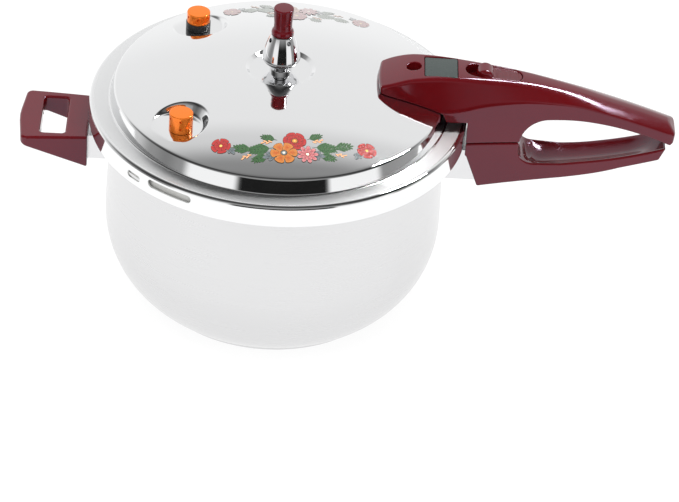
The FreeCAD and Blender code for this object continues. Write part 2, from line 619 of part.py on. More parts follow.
# ---------------------------------------------------------------- vent and pressure weight
def make_vent():
    floor = RECESS_Z
    under = floor - LID_T
    top = floor + VENT_H
    profile = [(VENT_BORE_R, floor - VENT_DROP), (VENT_R, floor - VENT_DROP), (VENT_R, floor),
               (VENT_FLANGE_R, floor), (VENT_FLANGE_R, floor + VENT_FLANGE_T), (VENT_R, floor + VENT_FLANGE_T),
               (VENT_R, top - VENT_MOUTH), (VENT_R - VENT_MOUTH, top), (VENT_BORE_R, top)]
    parts["vent_pipe"] = lathe(profile)
    nut_top = under - VENT_WASHER_T
    nut_low = nut_top - VENT_NUT[1]
    thread_r = VENT_R + HALF_FIT
    parts["vent_washer"] = tube(VENT_R + VENT_WASHER_W, VENT_R + FIT, nut_top, under)
    parts["vent_nut"] = hex_nut(VENT_NUT[0], nut_low, nut_top, thread_r)
    guard_top = nut_low - GUARD_GAP
    cup = tube(GUARD_R, GUARD_R - GUARD_WALL, guard_top - GUARD_H, guard_top)
    roof = tube(GUARD_R, thread_r, guard_top - GUARD_WALL, guard_top)
    hub = tube(VENT_R + GUARD_HUB[0], thread_r, guard_top - GUARD_HUB[1], guard_top)
    slots = []
    for i in range(GUARD_SLOTS):
        slot = block((GUARD_R - 3, GUARD_R + 2), (-GUARD_SLOT_HALF_W, GUARD_SLOT_HALF_W),
                     (guard_top - GUARD_SLOT_Z[1], guard_top - GUARD_SLOT_Z[0]))
        slot.rotate(V(0, 0, 0), UP, 360.0 / GUARD_SLOTS * i)
        slots.append(slot)
    parts["vent_guard"] = solid_of(cup.fuse([roof, hub]).cut(Part.makeCompound(slots)))


def make_weight():
    mouth = RECESS_Z + VENT_H
    low = RECESS_Z + WEIGHT_GAP
    high = low + WEIGHT_H
    roof = mouth + WEIGHT_ROOF
    stud_top = high + STUD_H
    bore = VENT_R + WEIGHT_BORE_CLEAR
    bulge_z = low + WEIGHT_BULGE_H
    foot = rz(WEIGHT_R - WEIGHT_FOOT_IN, low)
    low_mid = rz(WEIGHT_R - WEIGHT_LOW_ARC[0], low + WEIGHT_LOW_ARC[1])
    widest = rz(WEIGHT_R, bulge_z)
    high_mid = rz(WEIGHT_R - WEIGHT_HIGH_ARC[0], bulge_z + WEIGHT_HIGH_ARC[1])
    neck = rz(WEIGHT_NECK_R, high)
    rest = [neck, rz(STUD_R, high), rz(STUD_R, stud_top), rz(0, stud_top), rz(0, roof), rz(bore, roof),
            rz(bore, low), foot]
    edges = [arc(foot, low_mid, widest), arc(widest, high_mid, neck)]
    body = turn(edges + [line(a, b) for a, b in zip(rest, rest[1:])])
    hole_z = roof - STEAM_HOLE_R - STEAM_HOLE_DROP
    for i in range(STEAM_HOLES):
        x, y = polar(1.0, STEAM_HOLE_AZ + 360.0 / STEAM_HOLES * i)
        body = body.cut(Part.makeCylinder(STEAM_HOLE_R, WEIGHT_R + 2, V(0, 0, hole_z), V(x, y, 0)))
    parts["weight_body"] = solid_of(body)
    # grip knob on the stud
    top = high + KNOB_H
    stud_hole = STUD_R + HALF_FIT
    hole_top = stud_top + 0.2
    outline = [(0, hole_top), (stud_hole, hole_top), (stud_hole, high), (KNOB_FOOT_R - 0.3, high),
               (KNOB_FOOT_R, high + KNOB_FOOT_H), (KNOB_WAIST_R + 0.3, high + KNOB_NECK_H),
               (KNOB_WAIST_R, high + KNOB_WAIST_H), (KNOB_TOP_R, top - KNOB_EDGE),
               (KNOB_TOP_R - KNOB_EDGE, top), (0, top)]
    parts["weight_knob"] = lathe(outline)
    # needle that closes the pipe's mouth
    tip_z = mouth - NEEDLE_DROP
    seat = mouth + FIT
    disc_r = bore - 0.3
    disc_top = seat + NEEDLE_DISC_T
    parts["weight_needle"] = lathe([(0, tip_z), (NEEDLE_TIP_R, tip_z), (VENT_BORE_R - 0.15, seat),
                                    (disc_r, seat), (disc_r, disc_top), (0, disc_top)])


# ---------------------------------------------------------------- safety valves
def coil_spring(at, z0, z1, coil_r, wire_r, turns):
    """A coil spring between two heights, as tilted half rings that meet end to end."""
    halves = 2 * turns
    step = (z1 - z0 - 2 * wire_r) / halves
    ring_r = math.hypot(coil_r, step / 2.0)
    tilt = math.degrees(math.atan2(step / 2.0, coil_r))
    rings = []
    for i in range(halves):
        half = Part.makeTorus(ring_r, wire_r, V(0, 0, 0), UP, -180, 180, 180)
        half.rotate(V(0, 0, 0), V(0, 1, 0), tilt)
        half.rotate(V(0, 0, 0), UP, 180.0 * (i % 2))
        half.translate(V(at[0], at[1], z0 + wire_r + step * (i + 0.5)))
        rings.append(half)
    return rings[0].fuse(rings[1:])


def cap_holes(at, z):
    """A row of holes through a cap's side."""
    holes = []
    for i in range(CAP_HOLES):
        x, y = polar(1.0, CAP_HOLE_AZ + 360.0 / CAP_HOLES * i)
        start = V(at[0], at[1], z) + V(x, y, 0) * (VALVE_NECK_R + 0.6)
        holes.append(Part.makeCylinder(CAP_HOLE_R, VALVE_CAP_R, start, V(x, y, 0)))
    return Part.makeCompound(holes)


def make_safety_valve(side, at, floor, rows, has_collar):
    under = floor - LID_T
    flange_low = floor + GASKET_T
    flange_high = flange_low + VALVE_FLANGE_T
    neck_top = flange_high + VALVE_NECK_H
    well = neck_top - VALVE_WELL_DEPTH
    stem_low = under - VALVE_STEM_DROP
    cap_top = floor + VALVE_CAP_TOP
    ceiling = cap_top - VALVE_CAP_ROOF
    cap_low = floor + VALVE_CAP_LIFT
    split = floor + COLLAR_H if has_collar else cap_low
    body = [(VALVE_BORE_R, stem_low), (VALVE_STEM_R, stem_low), (VALVE_STEM_R, flange_low),
            (VALVE_FLANGE_R, flange_low), (VALVE_FLANGE_R, flange_high), (VALVE_NECK_R, flange_high),
            (VALVE_NECK_R, neck_top), (VALVE_WELL_R, neck_top), (VALVE_WELL_R, well), (VALVE_BORE_R, well)]
    parts[side + "_valve_body"] = lathe(body, at)
    parts[side + "_valve_gasket"] = tube(VALVE_FLANGE_R, VALVE_STEM_R + FIT, floor, flange_low, at)
    parts[side + "_valve_nut"] = hex_nut(VALVE_NUT[0], under - VALVE_NUT[1], under, VALVE_STEM_R + HALF_FIT, at)
    room = rod(VALVE_FLANGE_R + FIT, cap_low - 1, flange_high, at)
    thread = rod(VALVE_NECK_R + HALF_FIT, flange_high - 1, neck_top, at)
    chamber = rod(VALVE_NECK_R + VALVE_ROOM, neck_top, ceiling, at)
    cap = lathe([(0, split), (VALVE_CAP_R, split), (VALVE_CAP_R, cap_top - VALVE_CAP_EDGE),
                 (VALVE_CAP_R - VALVE_CAP_EDGE, cap_top), (0, cap_top)], at)
    cap = cap.cut(room.fuse([thread, chamber]))
    for drop in rows:
        cap = cap.cut(cap_holes(at, ceiling - drop))
    parts[side + "_valve_cap"] = solid_of(cap)
    if has_collar:
        collar = lathe([(0, cap_low), (COLLAR_R, cap_low), (COLLAR_R, split - 0.3), (COLLAR_R - 0.3, split),
                        (0, split)], at)
        parts[side + "_valve_collar"] = solid_of(collar.cut(room.fuse(thread)))
    disc_r = VALVE_WELL_R - POPPET_PLAY
    pin_r = VALVE_BORE_R - POPPET_PLAY
    disc_low, disc_top = well + POPPET_LIFT, well + POPPET_T
    pin_low = well - POPPET_PIN
    poppet = [(0, pin_low), (pin_r, pin_low), (pin_r, disc_low), (disc_r, disc_low), (disc_r, disc_top),
              (0, disc_top)]
    parts[side + "_valve_poppet"] = lathe(poppet, at)
    parts[side + "_valve_spring"] = coil_spring(at, disc_top + SPRING_GAP, ceiling - SPRING_GAP,
                                                SPRING_COIL_R, SPRING_WIRE_R, SPRING_TURNS)


# ---------------------------------------------------------------- float
def make_float():
    at = (FLOAT_X, 0.0)
    floor = seats()[2][1]
    under = floor - LID_T
    top = floor + FLOAT_GUIDE_H
    low = under - FLOAT_FLANGE[1]
    bore = FLOAT_PIN_R + SLIDE_FIT
    guide = [(bore, low), (FLOAT_FLANGE[0], low), (FLOAT_FLANGE[0], under), (FLOAT_GUIDE_R, under),
             (FLOAT_GUIDE_R, top), (bore, top)]
    parts["float_guide"] = lathe(guide, at)
    parts["float_guide_nut"] = hex_nut(FLOAT_NUT[0], floor, floor + FLOAT_NUT[1], FLOAT_GUIDE_R + HALF_FIT, at)
    seal_r, seal_t = FLOAT_SEAL
    seal_top = low - FLOAT_RISE - FLOAT_SEAL_GAP
    seal_low = seal_top - seal_t
    foot_r, foot_t = FLOAT_PIN_FOOT
    pin_top = top + FLOAT_PIN_H
    pin = [(0, seal_low - foot_t), (foot_r, seal_low - foot_t), (foot_r, seal_low), (FLOAT_PIN_R, seal_low),
           (FLOAT_PIN_R, pin_top), (0, pin_top)]
    parts["float_pin"] = lathe(pin, at)
    parts["float_seal"] = tube(seal_r, FLOAT_PIN_R + GRIP_FIT, seal_low, seal_top, at)
    cap_low = top + FIT
    cap = rod(FLOAT_CAP[0], cap_low, cap_low + FLOAT_CAP[1], at)
    parts["float_cap"] = cap.cut(rod(FLOAT_PIN_R + GRIP_FIT, cap_low - 1, pin_top, at))


# ---------------------------------------------------------------- long handle
def lower_screw_spots():
    return [(LID_R + LOWER_SCREW[0], side * LOWER_SCREW[1]) for side in (-1, 1)]


def handle_loft():
    """The upper handle's outside, from its stations, reaching below the parting plane."""
    low = -SPLIT_DROP - 8.0
    wires = []
    for x, half_w, side_z, top_half_w, top_z in HANDLE_STATIONS:
        corners = [(-half_w, low), (-half_w, side_z), (-top_half_w, top_z),
                   (top_half_w, top_z), (half_w, side_z), (half_w, low)]
        ends = [V(LID_R + x, y, BRIM_Z + z) for y, z in corners]
        wires.append(Part.makePolygon(ends + ends[:1]))
    return Part.makeLoft(wires, True, False)


def station_value(x, column):
    """A column of the long handle's stations at x from the brim's edge."""
    last = HANDLE_STATIONS[0]
    for station in HANDLE_STATIONS[1:]:
        if x <= station[0]:
            share = (x - last[0]) / (station[0] - last[0])
            return last[column] + (station[column] - last[column]) * share
        last = station
    return last[column]


def handle_half_width(x):
    return station_value(x, 1)


def handle_z(x):
    """Height of the upper handle's top face at x, above the brim's top."""
    return station_value(x, 4)


def x_span(pair):
    return (LID_R + pair[0], LID_R + pair[1])


def z_span(low, high):
    return (BRIM_Z + low, BRIM_Z + high)


def at_xz(x, z):
    """A point of a side outline, from the brim's edge and the brim's top."""
    return V(LID_R + x, 0, BRIM_Z + z)


def upper_side():
    """Side outline that keeps the upper handle: parting plane, loop arch and tip."""
    loop = at_xz(LOOP_X, -SPLIT_DROP)
    arch = [at_xz(*p) for p in LOOP_ARCH]
    tip = [at_xz(*p) for p in TIP_FACE]
    inner = LOOP_X - 100
    rest = [arch[3]] + tip + [at_xz(TIP_FACE[2][0], 60), at_xz(inner, 60), at_xz(inner, -SPLIT_DROP), loop]
    edges = [arc(loop, arch[0], arch[1]), arc(arch[1], arch[2], arch[3])]
    return edges + [line(a, b) for a, b in zip(rest, rest[1:])]


def nose_prism():
    """Plan outline that rounds the inner end of the upper handle."""
    nose = LID_R + NOSE_X
    front = nose + NOSE_BULGE
    half = handle_half_width(NOSE_X + NOSE_CORNER) + 0.2
    flat = half - NOSE_CORNER
    k = NOSE_CORNER * (1.0 - math.sqrt(0.5))
    side = front + NOSE_CORNER
    flare, wide = nose + NOSE_CORNER + NOSE_FLARE[0], NOSE_FLARE[1]
    end = LID_R + TIP_X + 10
    z = BRIM_Z - 30

    def p(x, y):
        return V(x, y, z)

    corner = (nose + k + NOSE_BULGE * 0.9, half - k)
    straight = [p(side, half), p(flare, wide), p(end, wide), p(end, -wide), p(flare, -wide), p(side, -half)]
    edges = [arc(p(front, -flat), p(nose, 0), p(front, flat)),
             arc(p(front, flat), p(*corner), p(side, half)),
             arc(p(side, -half), p(corner[0], -corner[1]), p(front, -flat))]
    edges += [line(a, b) for a, b in zip(straight, straight[1:])]
    return Part.Face(Part.Wire(Part.__sortEdges__(edges))).extrude(V(0, 0, 80))


def lid_clearance():
    """The space of the lid that the upper handle keeps clear of."""
    radius = DOME_R + DOME_FIT
    shoulder_r = SHOULDER_R + SHOULDER_FIT
    shoulder_z = DOME_CENTRE_Z + math.sqrt(radius ** 2 - shoulder_r ** 2)
    mid_r = shoulder_r / 2.0
    mid_z = DOME_CENTRE_Z + math.sqrt(radius ** 2 - mid_r ** 2)
    brim_z = BRIM_Z + BRIM_GAP
    low = BRIM_Z - 60
    p = [rz(0, low), rz(0, DOME_CENTRE_Z + radius), rz(shoulder_r, shoulder_z), rz(FOOT_R + STEP_FIT, brim_z),
         rz(FRONT_R, brim_z), rz(FRONT_R, low)]
    return turn([line(p[0], p[1]), arc(p[1], rz(mid_r, mid_z), p[2]), line(p[2], p[3]), line(p[3], p[4]),
                 line(p[4], p[5]), line(p[5], p[0])])


def strap_screw_spots():
    return [(LID_R + STRAP_SCREW[0], side * STRAP_SCREW[1]) for side in (-1, 1)]


def cover_screw_spots():
    return [(LID_R + COVER_SCREW[0], side * COVER_SCREW[1]) for side in (-1, 1)]


def make_upper_handle():
    body = handle_loft().common(slab(upper_side(), REACH)).common(nose_prism())
    body = body.cut(lid_clearance())
    low = -SPLIT_DROP - 10
    over = 45
    cuts = []
    # room for the bracket's foot and strap, open towards the lid
    strap_y = (-STRAP_HALF_W - STRAP_CLEAR, STRAP_HALF_W + STRAP_CLEAR)
    foot_x = (FOOT_X[0] - 1.0, FOOT_X[1] + 0.5)
    cuts.append(block(x_span(foot_x), strap_y, z_span(low, STRAP_Z[1] + FOOT_RISE + 0.8)))
    cuts.append(block(x_span((FOOT_X[1], STRAP_END + 0.5)), strap_y, z_span(low + 14, STRAP_Z[1])))
    # lock pocket, open at the parting plane
    pocket_y = (-POCKET_HALF_W, POCKET_HALF_W)
    cuts.append(block(x_span(POCKET_X), pocket_y, z_span(low, STRAP_Z[0] + FIT)))
    cuts.append(block(x_span((STRAP_END + 1.5, POCKET_X[1])), pocket_y, z_span(low, POCKET_ROOF)))
    # slider's slot and the way through its floor
    cuts.append(obround(x_span(SLOT_X), SLOT_HALF_W, z_span(SLOT_FLOOR, over)))
    stem_half = STEM_HALF_W + STEM_ROOM[1]
    stem_x = (STEM_X[0] - LOCK_TRAVEL - STEM_ROOM[0], STEM_X[1] + STEM_ROOM[0])
    cuts.append(block(x_span(stem_x), (-stem_half, stem_half), z_span(POCKET_ROOF - 1, SLOT_FLOOR + 1)))
    # float's window and the room round its guide
    float_at = (FLOAT_X, 0)
    cuts.append(rod(HOLE_R, BRIM_Z, BRIM_Z + over, float_at))
    cuts.append(rod(GUIDE_ROOM[0], BRIM_Z, BRIM_Z + GUIDE_ROOM[1], float_at))
    # name plate's recess and the screw under it
    plate_y = PLATE_HALF_W + PLATE_CLEAR
    plate_x = (PLATE_X[0] - PLATE_CLEAR, PLATE_X[1] + PLATE_CLEAR)
    plate_low = handle_z(PLATE_X[0]) - PLATE_T - FIT
    cuts.append(block(x_span(plate_x), (-plate_y, plate_y), z_span(plate_low, over)))
    screw_at = (LID_R + FRONT_SCREW_X, 0)
    head_r, head_h = FRONT_SCREW_HEAD
    cuts.append(rod(head_r + 0.3, BRIM_Z + FRONT_SCREW_HEAD_Z - head_h, BRIM_Z + over, screw_at))
    cuts.append(rod(FRONT_SCREW_R + FIT, BRIM_Z + 5, BRIM_Z + over, screw_at))
    strap_top = BRIM_Z + STRAP_Z[1]
    for at in strap_screw_spots():
        cuts.append(rod(STRAP_SCREW_R + HALF_FIT, strap_top - 1, strap_top + STRAP_SCREW_L + 1, at))
    for cut in cuts:
        body = body.cut(cut)
    boss_low = SPLIT_Z + COVER_T
    for at in cover_screw_spots():
        body = body.fuse(rod(BOSS_R, boss_low, BRIM_Z + BOSS_TOP, at))
        body = body.cut(rod(COVER_SCREW_R + HALF_FIT, boss_low - 1, boss_low + COVER_SCREW_L + 2, at))
    parts["upper_handle"] = solid_of(body)


def make_name_plate():
    top = handle_z(PLATE_X[0])
    plate = block(x_span(PLATE_X), (-PLATE_HALF_W, PLATE_HALF_W), z_span(top - PLATE_T, top + FIT))
    parts["name_plate"] = plate


def make_lid_bracket():
    strap_y = (-STRAP_HALF_W, STRAP_HALF_W)
    foot = block(x_span(FOOT_X), strap_y, z_span(FOOT_LOW, STRAP_Z[1] + FOOT_RISE))
    foot = foot.cut(turn(lid_outline(0.0)))
    strap = block(x_span((FOOT_X[1] - 1, STRAP_END)), strap_y, z_span(*STRAP_Z))
    front_at = (LID_R + FRONT_SCREW_X, 0)
    body = foot.fuse(strap).cut(rod(FRONT_SCREW_R + HALF_FIT, BRIM_Z, BRIM_Z + 40, front_at))
    for at in strap_screw_spots():
        body = body.cut(rod(STRAP_SCREW_R + FIT, BRIM_Z, BRIM_Z + 40, at))
    parts["lid_handle_bracket"] = solid_of(body)
    front_tip = dome_z(front_at[0]) + FRONT_SCREW_TIP
    parts["front_handle_screw"] = screw_up(front_at, BRIM_Z + FRONT_SCREW_HEAD_Z, front_tip, FRONT_SCREW_R,
                                           *FRONT_SCREW_HEAD)
    head_z = BRIM_Z + STRAP_Z[0] - STRAP_SCREW_HEAD[1]
    tip_z = BRIM_Z + STRAP_Z[1] + STRAP_SCREW_L
    screws = [screw_up(at, head_z, tip_z, STRAP_SCREW_R, *STRAP_SCREW_HEAD) for at in strap_screw_spots()]
    parts["strap_screws"] = Part.makeCompound(screws)


def make_under_cover():
    x = (POCKET_X[0] + COVER_CLEAR, POCKET_X[1] - COVER_CLEAR)
    half = POCKET_HALF_W - COVER_CLEAR
    top = SPLIT_Z + COVER_T
    plate = block(x_span(x), (-half, half), (SPLIT_Z, top))
    at = (LID_R + LOCK_PIN_X, 0)
    body = plate.fuse(rod(BUSH_R, SPLIT_Z, top + BUSH_H, at))
    body = body.cut(rod(LOCK_PIN_R + SLIDE_FIT, SPLIT_Z - 1, SPLIT_Z + 20, at))
    body = body.cut(rod(FRONT_R, SPLIT_Z - 1, SPLIT_Z + 20))
    screws = []
    for spot in cover_screw_spots():
        body = body.cut(rod(COVER_SCREW_R + FIT, SPLIT_Z - 1, SPLIT_Z + 20, spot))
        body = body.cut(rod(COVER_SINK[0], SPLIT_Z - 1, SPLIT_Z + COVER_SINK[1], spot))
        screws.append(screw_up(spot, SPLIT_Z + FIT, top + COVER_SCREW_L, COVER_SCREW_R, *COVER_SCREW_HEAD))
    parts["handle_under_cover"] = solid_of(body)
    parts["under_cover_screws"] = Part.makeCompound(screws)


# ---------------------------------------------------------------- lock
def make_slider():
    """Thumb slider: a pad flush with the handle, a rounded bump at its inner end, and a stem."""
    low = SLOT_FLOOR + SLIDER_LIFT
    x0, x1 = SLIDER_X
    top = [(x0 - 1, low), (x1 + 1, low), (x1 + 1, handle_z(x1) - SLIDER_DROP),
           (x0 - 1, handle_z(x0) - SLIDER_DROP)]
    under_top = slab(polygon_xz([(LID_R + x, BRIM_Z + z) for x, z in top]), SLIDER_HALF_W + 1)
    plan = obround(x_span(SLIDER_X), SLIDER_HALF_W, z_span(low, 45))
    bump_at = at_xz(x0 + BUMP_R - BUMP_LEAD, handle_z(x0) - BUMP_SINK)
    bump_half = SLIDER_HALF_W - BUMP_INSET
    bump_at.y = -bump_half
    bump = Part.makeCylinder(BUMP_R, 2 * bump_half, bump_at, V(0, 1, 0)).common(plan)
    stem = block(x_span(STEM_X), (-STEM_HALF_W, STEM_HALF_W), z_span(POCKET_ROOF, low + 0.5))
    slider = plan.common(under_top).fuse(bump).fuse(stem)
    pitch = (x1 - x0 - RIB_ROOM) / RIBS
    rib_half = SLIDER_HALF_W - RIB_INSET
    for i in range(RIBS):
        x = x0 + RIB_FROM + pitch * i
        groove_x = x_span((x, x + pitch * RIB_SHARE))
        groove_z = z_span(handle_z(x) - SLIDER_DROP - RIB_DEPTH, 45)
        slider = slider.cut(block(groove_x, (-rib_half, rib_half), groove_z))
    neck_half = CAM_HALF_T + HALF_FIT
    neck_x = (NECK_X[0] - HALF_FIT, NECK_X[1] + HALF_FIT)
    neck_z = z_span(POCKET_ROOF - 1, POCKET_ROOF + NECK_H + HALF_FIT)
    parts["lock_slider"] = solid_of(slider.cut(block(x_span(neck_x), (-neck_half, neck_half), neck_z)))


def make_lock():
    make_slider()
    along_y = V(0, 1, 0)
    at = (LID_R + LOCK_PIN_X, 0)
    # cam plate under the slider, with a slanted slot
    cam_y = (-CAM_HALF_T, CAM_HALF_T)
    plate = block(x_span(CAM_X), cam_y, z_span(*CAM_Z))
    neck = block(x_span(NECK_X), cam_y, z_span(CAM_Z[1] - 1, POCKET_ROOF + NECK_H))
    slot_r = CROSS_PIN_R + CAM_SLOT_FIT
    start = V(at[0], -5, BRIM_Z + CROSS_PIN_Z)
    end = start + V(LOCK_TRAVEL, 0, -LOCK_PIN_DROP)
    along = (end - start).normalize()
    across = V(along.z, 0, -along.x) * slot_r
    corners = [start + across, end + across, end - across, start - across]
    strip = Part.Face(Part.makePolygon(corners + corners[:1]))
    slot = strip.extrude(V(0, 10, 0)).fuse([Part.makeCylinder(slot_r, 10, p, along_y) for p in (start, end)])
    parts["lock_cam_plate"] = solid_of(plate.fuse(neck).cut(slot))
    # lock pin that straddles the cam plate, and its cross pin
    pin_top = BRIM_Z + CAM_Z[1] + LOCK_PIN_TOP
    pin = rod(LOCK_PIN_R, SPLIT_Z + LOCK_PIN_TIP, pin_top, at)
    fork = CAM_HALF_T + FORK_FIT
    pin = pin.cut(block((at[0] - 5, at[0] + 5), (-fork, fork), (BRIM_Z + CAM_Z[0] - FORK_DEPTH, pin_top + 1)))
    pin = pin.cut(Part.makeCylinder(CROSS_PIN_R + GRIP_FIT, 10, start, along_y))
    parts["lock_pin"] = solid_of(pin)
    cross_at = V(at[0], -CROSS_PIN_L / 2, BRIM_Z + CROSS_PIN_Z)
    parts["lock_cross_pin"] = Part.makeCylinder(CROSS_PIN_R, CROSS_PIN_L, cross_at, along_y)
    # leaf spring that steadies the cam plate's neck
    near = CAM_HALF_T + FIT
    wall = POCKET_HALF_W - HALF_FIT
    a, b, c, d = LEAF_X
    ends = [(a, wall), (b, near), (c, near), (d, wall), (d - 0.6, wall), (c - 0.2, near + LEAF_T),
            (b + 0.2, near + LEAF_T), (a + 0.6, wall)]
    corners = [V(LID_R + x, y, BRIM_Z + CAM_Z[1] + LEAF_RISE) for x, y in ends]
    leaf = Part.Face(Part.makePolygon(corners + corners[:1]))
    parts["lock_leaf_spring"] = leaf.extrude(V(0, 0, LEAF_W))


# ---------------------------------------------------------------- lower handle
def lower_side():
    """Side outline of the lower handle."""
    top = -SPLIT_DROP - SPLIT_GAP
    loop = at_xz(LOOP_X, top)
    corner_mid = at_xz(LOOP_X + LOOP_CORNER_MID[0], LOOP_CORNER_MID[1])
    floor = [at_xz(*p) for p in LOOP_FLOOR]
    under = [at_xz(*p) for p in UNDERSIDE]
    front = [at_xz(*p) for p in FRONT_FACE]
    rest = [under[3], under[4]] + front + [at_xz(FRONT_FACE[1][0], top), loop]
    edges = [arc(loop, corner_mid, floor[0]), line(floor[0], floor[1]), arc(floor[1], floor[2], floor[3]),
             line(floor[3], under[0]), line(under[0], under[1]), arc(under[1], under[2], under[3])]
    return edges + [line(a, b) for a, b in zip(rest, rest[1:])]


def handle_plan(z, height):
    """Plan outline of the long handle, as a prism."""
    rows = [s for s in HANDLE_STATIONS if s[0] > LOWER_PLAN_FROM]
    left = [V(LID_R + s[0], -s[1], z) for s in rows]
    right = [V(LID_R + s[0], s[1], z) for s in reversed(rows)]
    curve_left = Part.BSplineCurve()
    curve_left.interpolate(left)
    curve_right = Part.BSplineCurve()
    curve_right.interpolate(right)
    edges = [curve_left.toShape(), line(left[-1], right[0]), curve_right.toShape(), line(right[-1], left[0])]
    return Part.Face(Part.Wire(edges)).extrude(V(0, 0, height))


def make_lower_handle():
    body = slab(lower_side(), REACH).common(handle_plan(BRIM_Z - 70, 80))
    body = body.cut(rod(FRONT_R, SKIRT_Z - 1.5, BRIM_Z + 10))
    end = LID_R + BRACKET_END + FIT
    half = BRACKET_HALF_W + FIT
    body = body.cut(block((LID_R - 30, end), (-half, half), (BRACKET_Z[0] - FIT, BRACKET_Z[1] + FIT)))
    top = SPLIT_Z - SPLIT_GAP
    hole_low = top - LOCK_PIN_DROP - 0.4
    body = body.cut(rod(LOCK_PIN_R + 0.4, hole_low, top + 5, (LID_R + LOCK_PIN_X, 0)))
    head_z = top - SCREW_HEAD_H - SCREW_SINK
    under = BRACKET_Z[1] - BRACKET_WALL
    nut_low = under - LOWER_NUT[1]
    screws = []
    nuts = []
    for at in lower_screw_spots():
        body = body.cut(rod(SCREW_R + FIT, BRACKET_Z[1] - 1, top + 5, at))
        body = body.cut(rod(SCREW_HEAD_R + 0.2, head_z, top + 5, at))
        screws.append(screw_up(at, head_z + SCREW_HEAD_H, nut_low - NUT_THREAD, SCREW_R,
                               SCREW_HEAD_R, SCREW_HEAD_H))
        nuts.append(hex_nut(LOWER_NUT[0], nut_low, under, SCREW_R + NUT_FIT, at))
    parts["lower_handle"] = solid_of(body)
    parts["lower_handle_screws"] = Part.makeCompound(screws)
    parts["lower_handle_nuts"] = Part.makeCompound(nuts)


# ---------------------------------------------------------------- helper handle
def helper_plan(z, height):
    corner = HELPER_CORNER
    k = corner * (1.0 - math.sqrt(0.5))
    inner, outer = -HELPER_IN, -HELPER_OUT
    half_in, half_out = HELPER_HALF_W
    edge_x = outer + HELPER_BOW

    def p(x, y):
        return V(x, y, z)

    edges = [line(p(inner, -half_in), p(inner, half_in)), line(p(inner, half_in), p(edge_x + corner, half_out)),
             arc(p(edge_x + corner, half_out), p(edge_x + k, half_out - k), p(edge_x, half_out - corner)),
             arc(p(edge_x, half_out - corner), p(outer, 0), p(edge_x, -half_out + corner)),
             arc(p(edge_x, -half_out + corner), p(edge_x + k, -half_out + k), p(edge_x + corner, -half_out)),
             line(p(edge_x + corner, -half_out), p(inner, -half_in))]
    return Part.Face(Part.Wire(edges)).extrude(V(0, 0, height))


def rounded_window(x, half_w, z, corner):
    body = block((x[0], x[1]), (-half_w, half_w), z)
    upright = [e for e in body.Edges if abs(e.tangentAt(e.FirstParameter).z) > 0.9]
    return body.makeFillet(corner, upright)


def make_helper():
    low = HELPER_Z - HELPER_DEPTH[0]
    tip = HELPER_Z - HELPER_DEPTH[1]
    side = [(-HELPER_IN, HELPER_Z), (-HELPER_OUT, HELPER_Z), (-HELPER_OUT, tip), (-HELPER_IN, low)]
    body = slab(polygon_xz(side), REACH).common(helper_plan(low - 1, HELPER_DEPTH[0] + 2))
    body = body.cut(rounded_window((-HELPER_OPEN_X[1], -HELPER_OPEN_X[0]), HELPER_OPEN_HALF_W,
                                   (low - 5, HELPER_Z + 5), HELPER_OPEN_CORNER))
    end = -HELPER_BRACKET_END
    half = HELPER_BRACKET_HALF_W + FIT
    zs = (HELPER_BRACKET_Z[0] - FIT, HELPER_BRACKET_Z[1] + FIT)
    body = body.cut(block((end - FIT, -HELPER_IN + 5), (-half, half), zs))
    bracket = block((end, -MOUTH_R + BRACKET_IN), (-HELPER_BRACKET_HALF_W, HELPER_BRACKET_HALF_W),
                    HELPER_BRACKET_Z)
    inner_half = HELPER_BRACKET_HALF_W - BRACKET_WALL
    bracket = bracket.cut(block((end + BRACKET_WALL, 0), (-inner_half, inner_half),
                                (HELPER_BRACKET_Z[0] + BRACKET_WALL, HELPER_BRACKET_Z[1] - BRACKET_WALL)))
    z = (HELPER_BRACKET_Z[0] + HELPER_BRACKET_Z[1]) / 2.0 + HELPER_SCREW_RISE
    sink_r, sink = HELPER_SINK
    head_r, head_h = HELPER_SCREW_HEAD
    head_x = -HELPER_OPEN_X[0] + sink
    out, back = V(-1, 0, 0), V(1, 0, 0)
    screws = []
    for y in (-HELPER_SCREW_Y, HELPER_SCREW_Y):
        body = body.cut(Part.makeCylinder(HELPER_SCREW_R + FIT, 30, V(head_x, y, z), back))
        body = body.cut(Part.makeCylinder(sink_r, 10, V(head_x + head_h, y, z), out))
        bracket = bracket.cut(Part.makeCylinder(HELPER_SCREW_R + NUT_FIT, 10, V(end - 2, y, z), back))
        screws.append(screw_along_x(head_x, end + HELPER_SCREW_REACH, y, z, HELPER_SCREW_R, head_r, head_h))
    parts["helper_handle"] = solid_of(body)
    parts["helper_bracket"] = solid_of(bracket.cut(pot_body(0.0, RIM_Z)))
    parts["helper_handle_screws"] = Part.makeCompound(screws)


# ---------------------------------------------------------------- build and write
def main():
    make_pot()
    make_pot_bracket()
    make_lid()
    make_sealing_ring()
    make_vent()
    make_weight()
    valve_seats = seats()
    make_safety_valve("front", valve_seats[0][0], valve_seats[0][1], FRONT_CAP_ROWS, False)
    make_safety_valve("rear", valve_seats[1][0], valve_seats[1][1], REAR_CAP_ROWS, True)
    make_float()
    make_upper_handle()
    make_name_plate()
    make_lid_bracket()
    make_under_cover()
    make_lock()
    make_lower_handle()
    make_helper()
    os.makedirs("parts", exist_ok=True)
    for name, shape in parts.items():
        shape.exportStep("parts/" + name + ".step")
        print(name, "valid", shape.isValid(), "solids", len(shape.Solids), "volume", round(shape.Volume, 1))


main()
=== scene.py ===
"""Looks of the pressure canner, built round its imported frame.

Shapes are worked out in millimetres, in the frame's own axes, and turned into metres when a mesh is made.
"""

import json
import math

import bpy
import numpy as np
import openvdb
from mathutils import Matrix, Vector


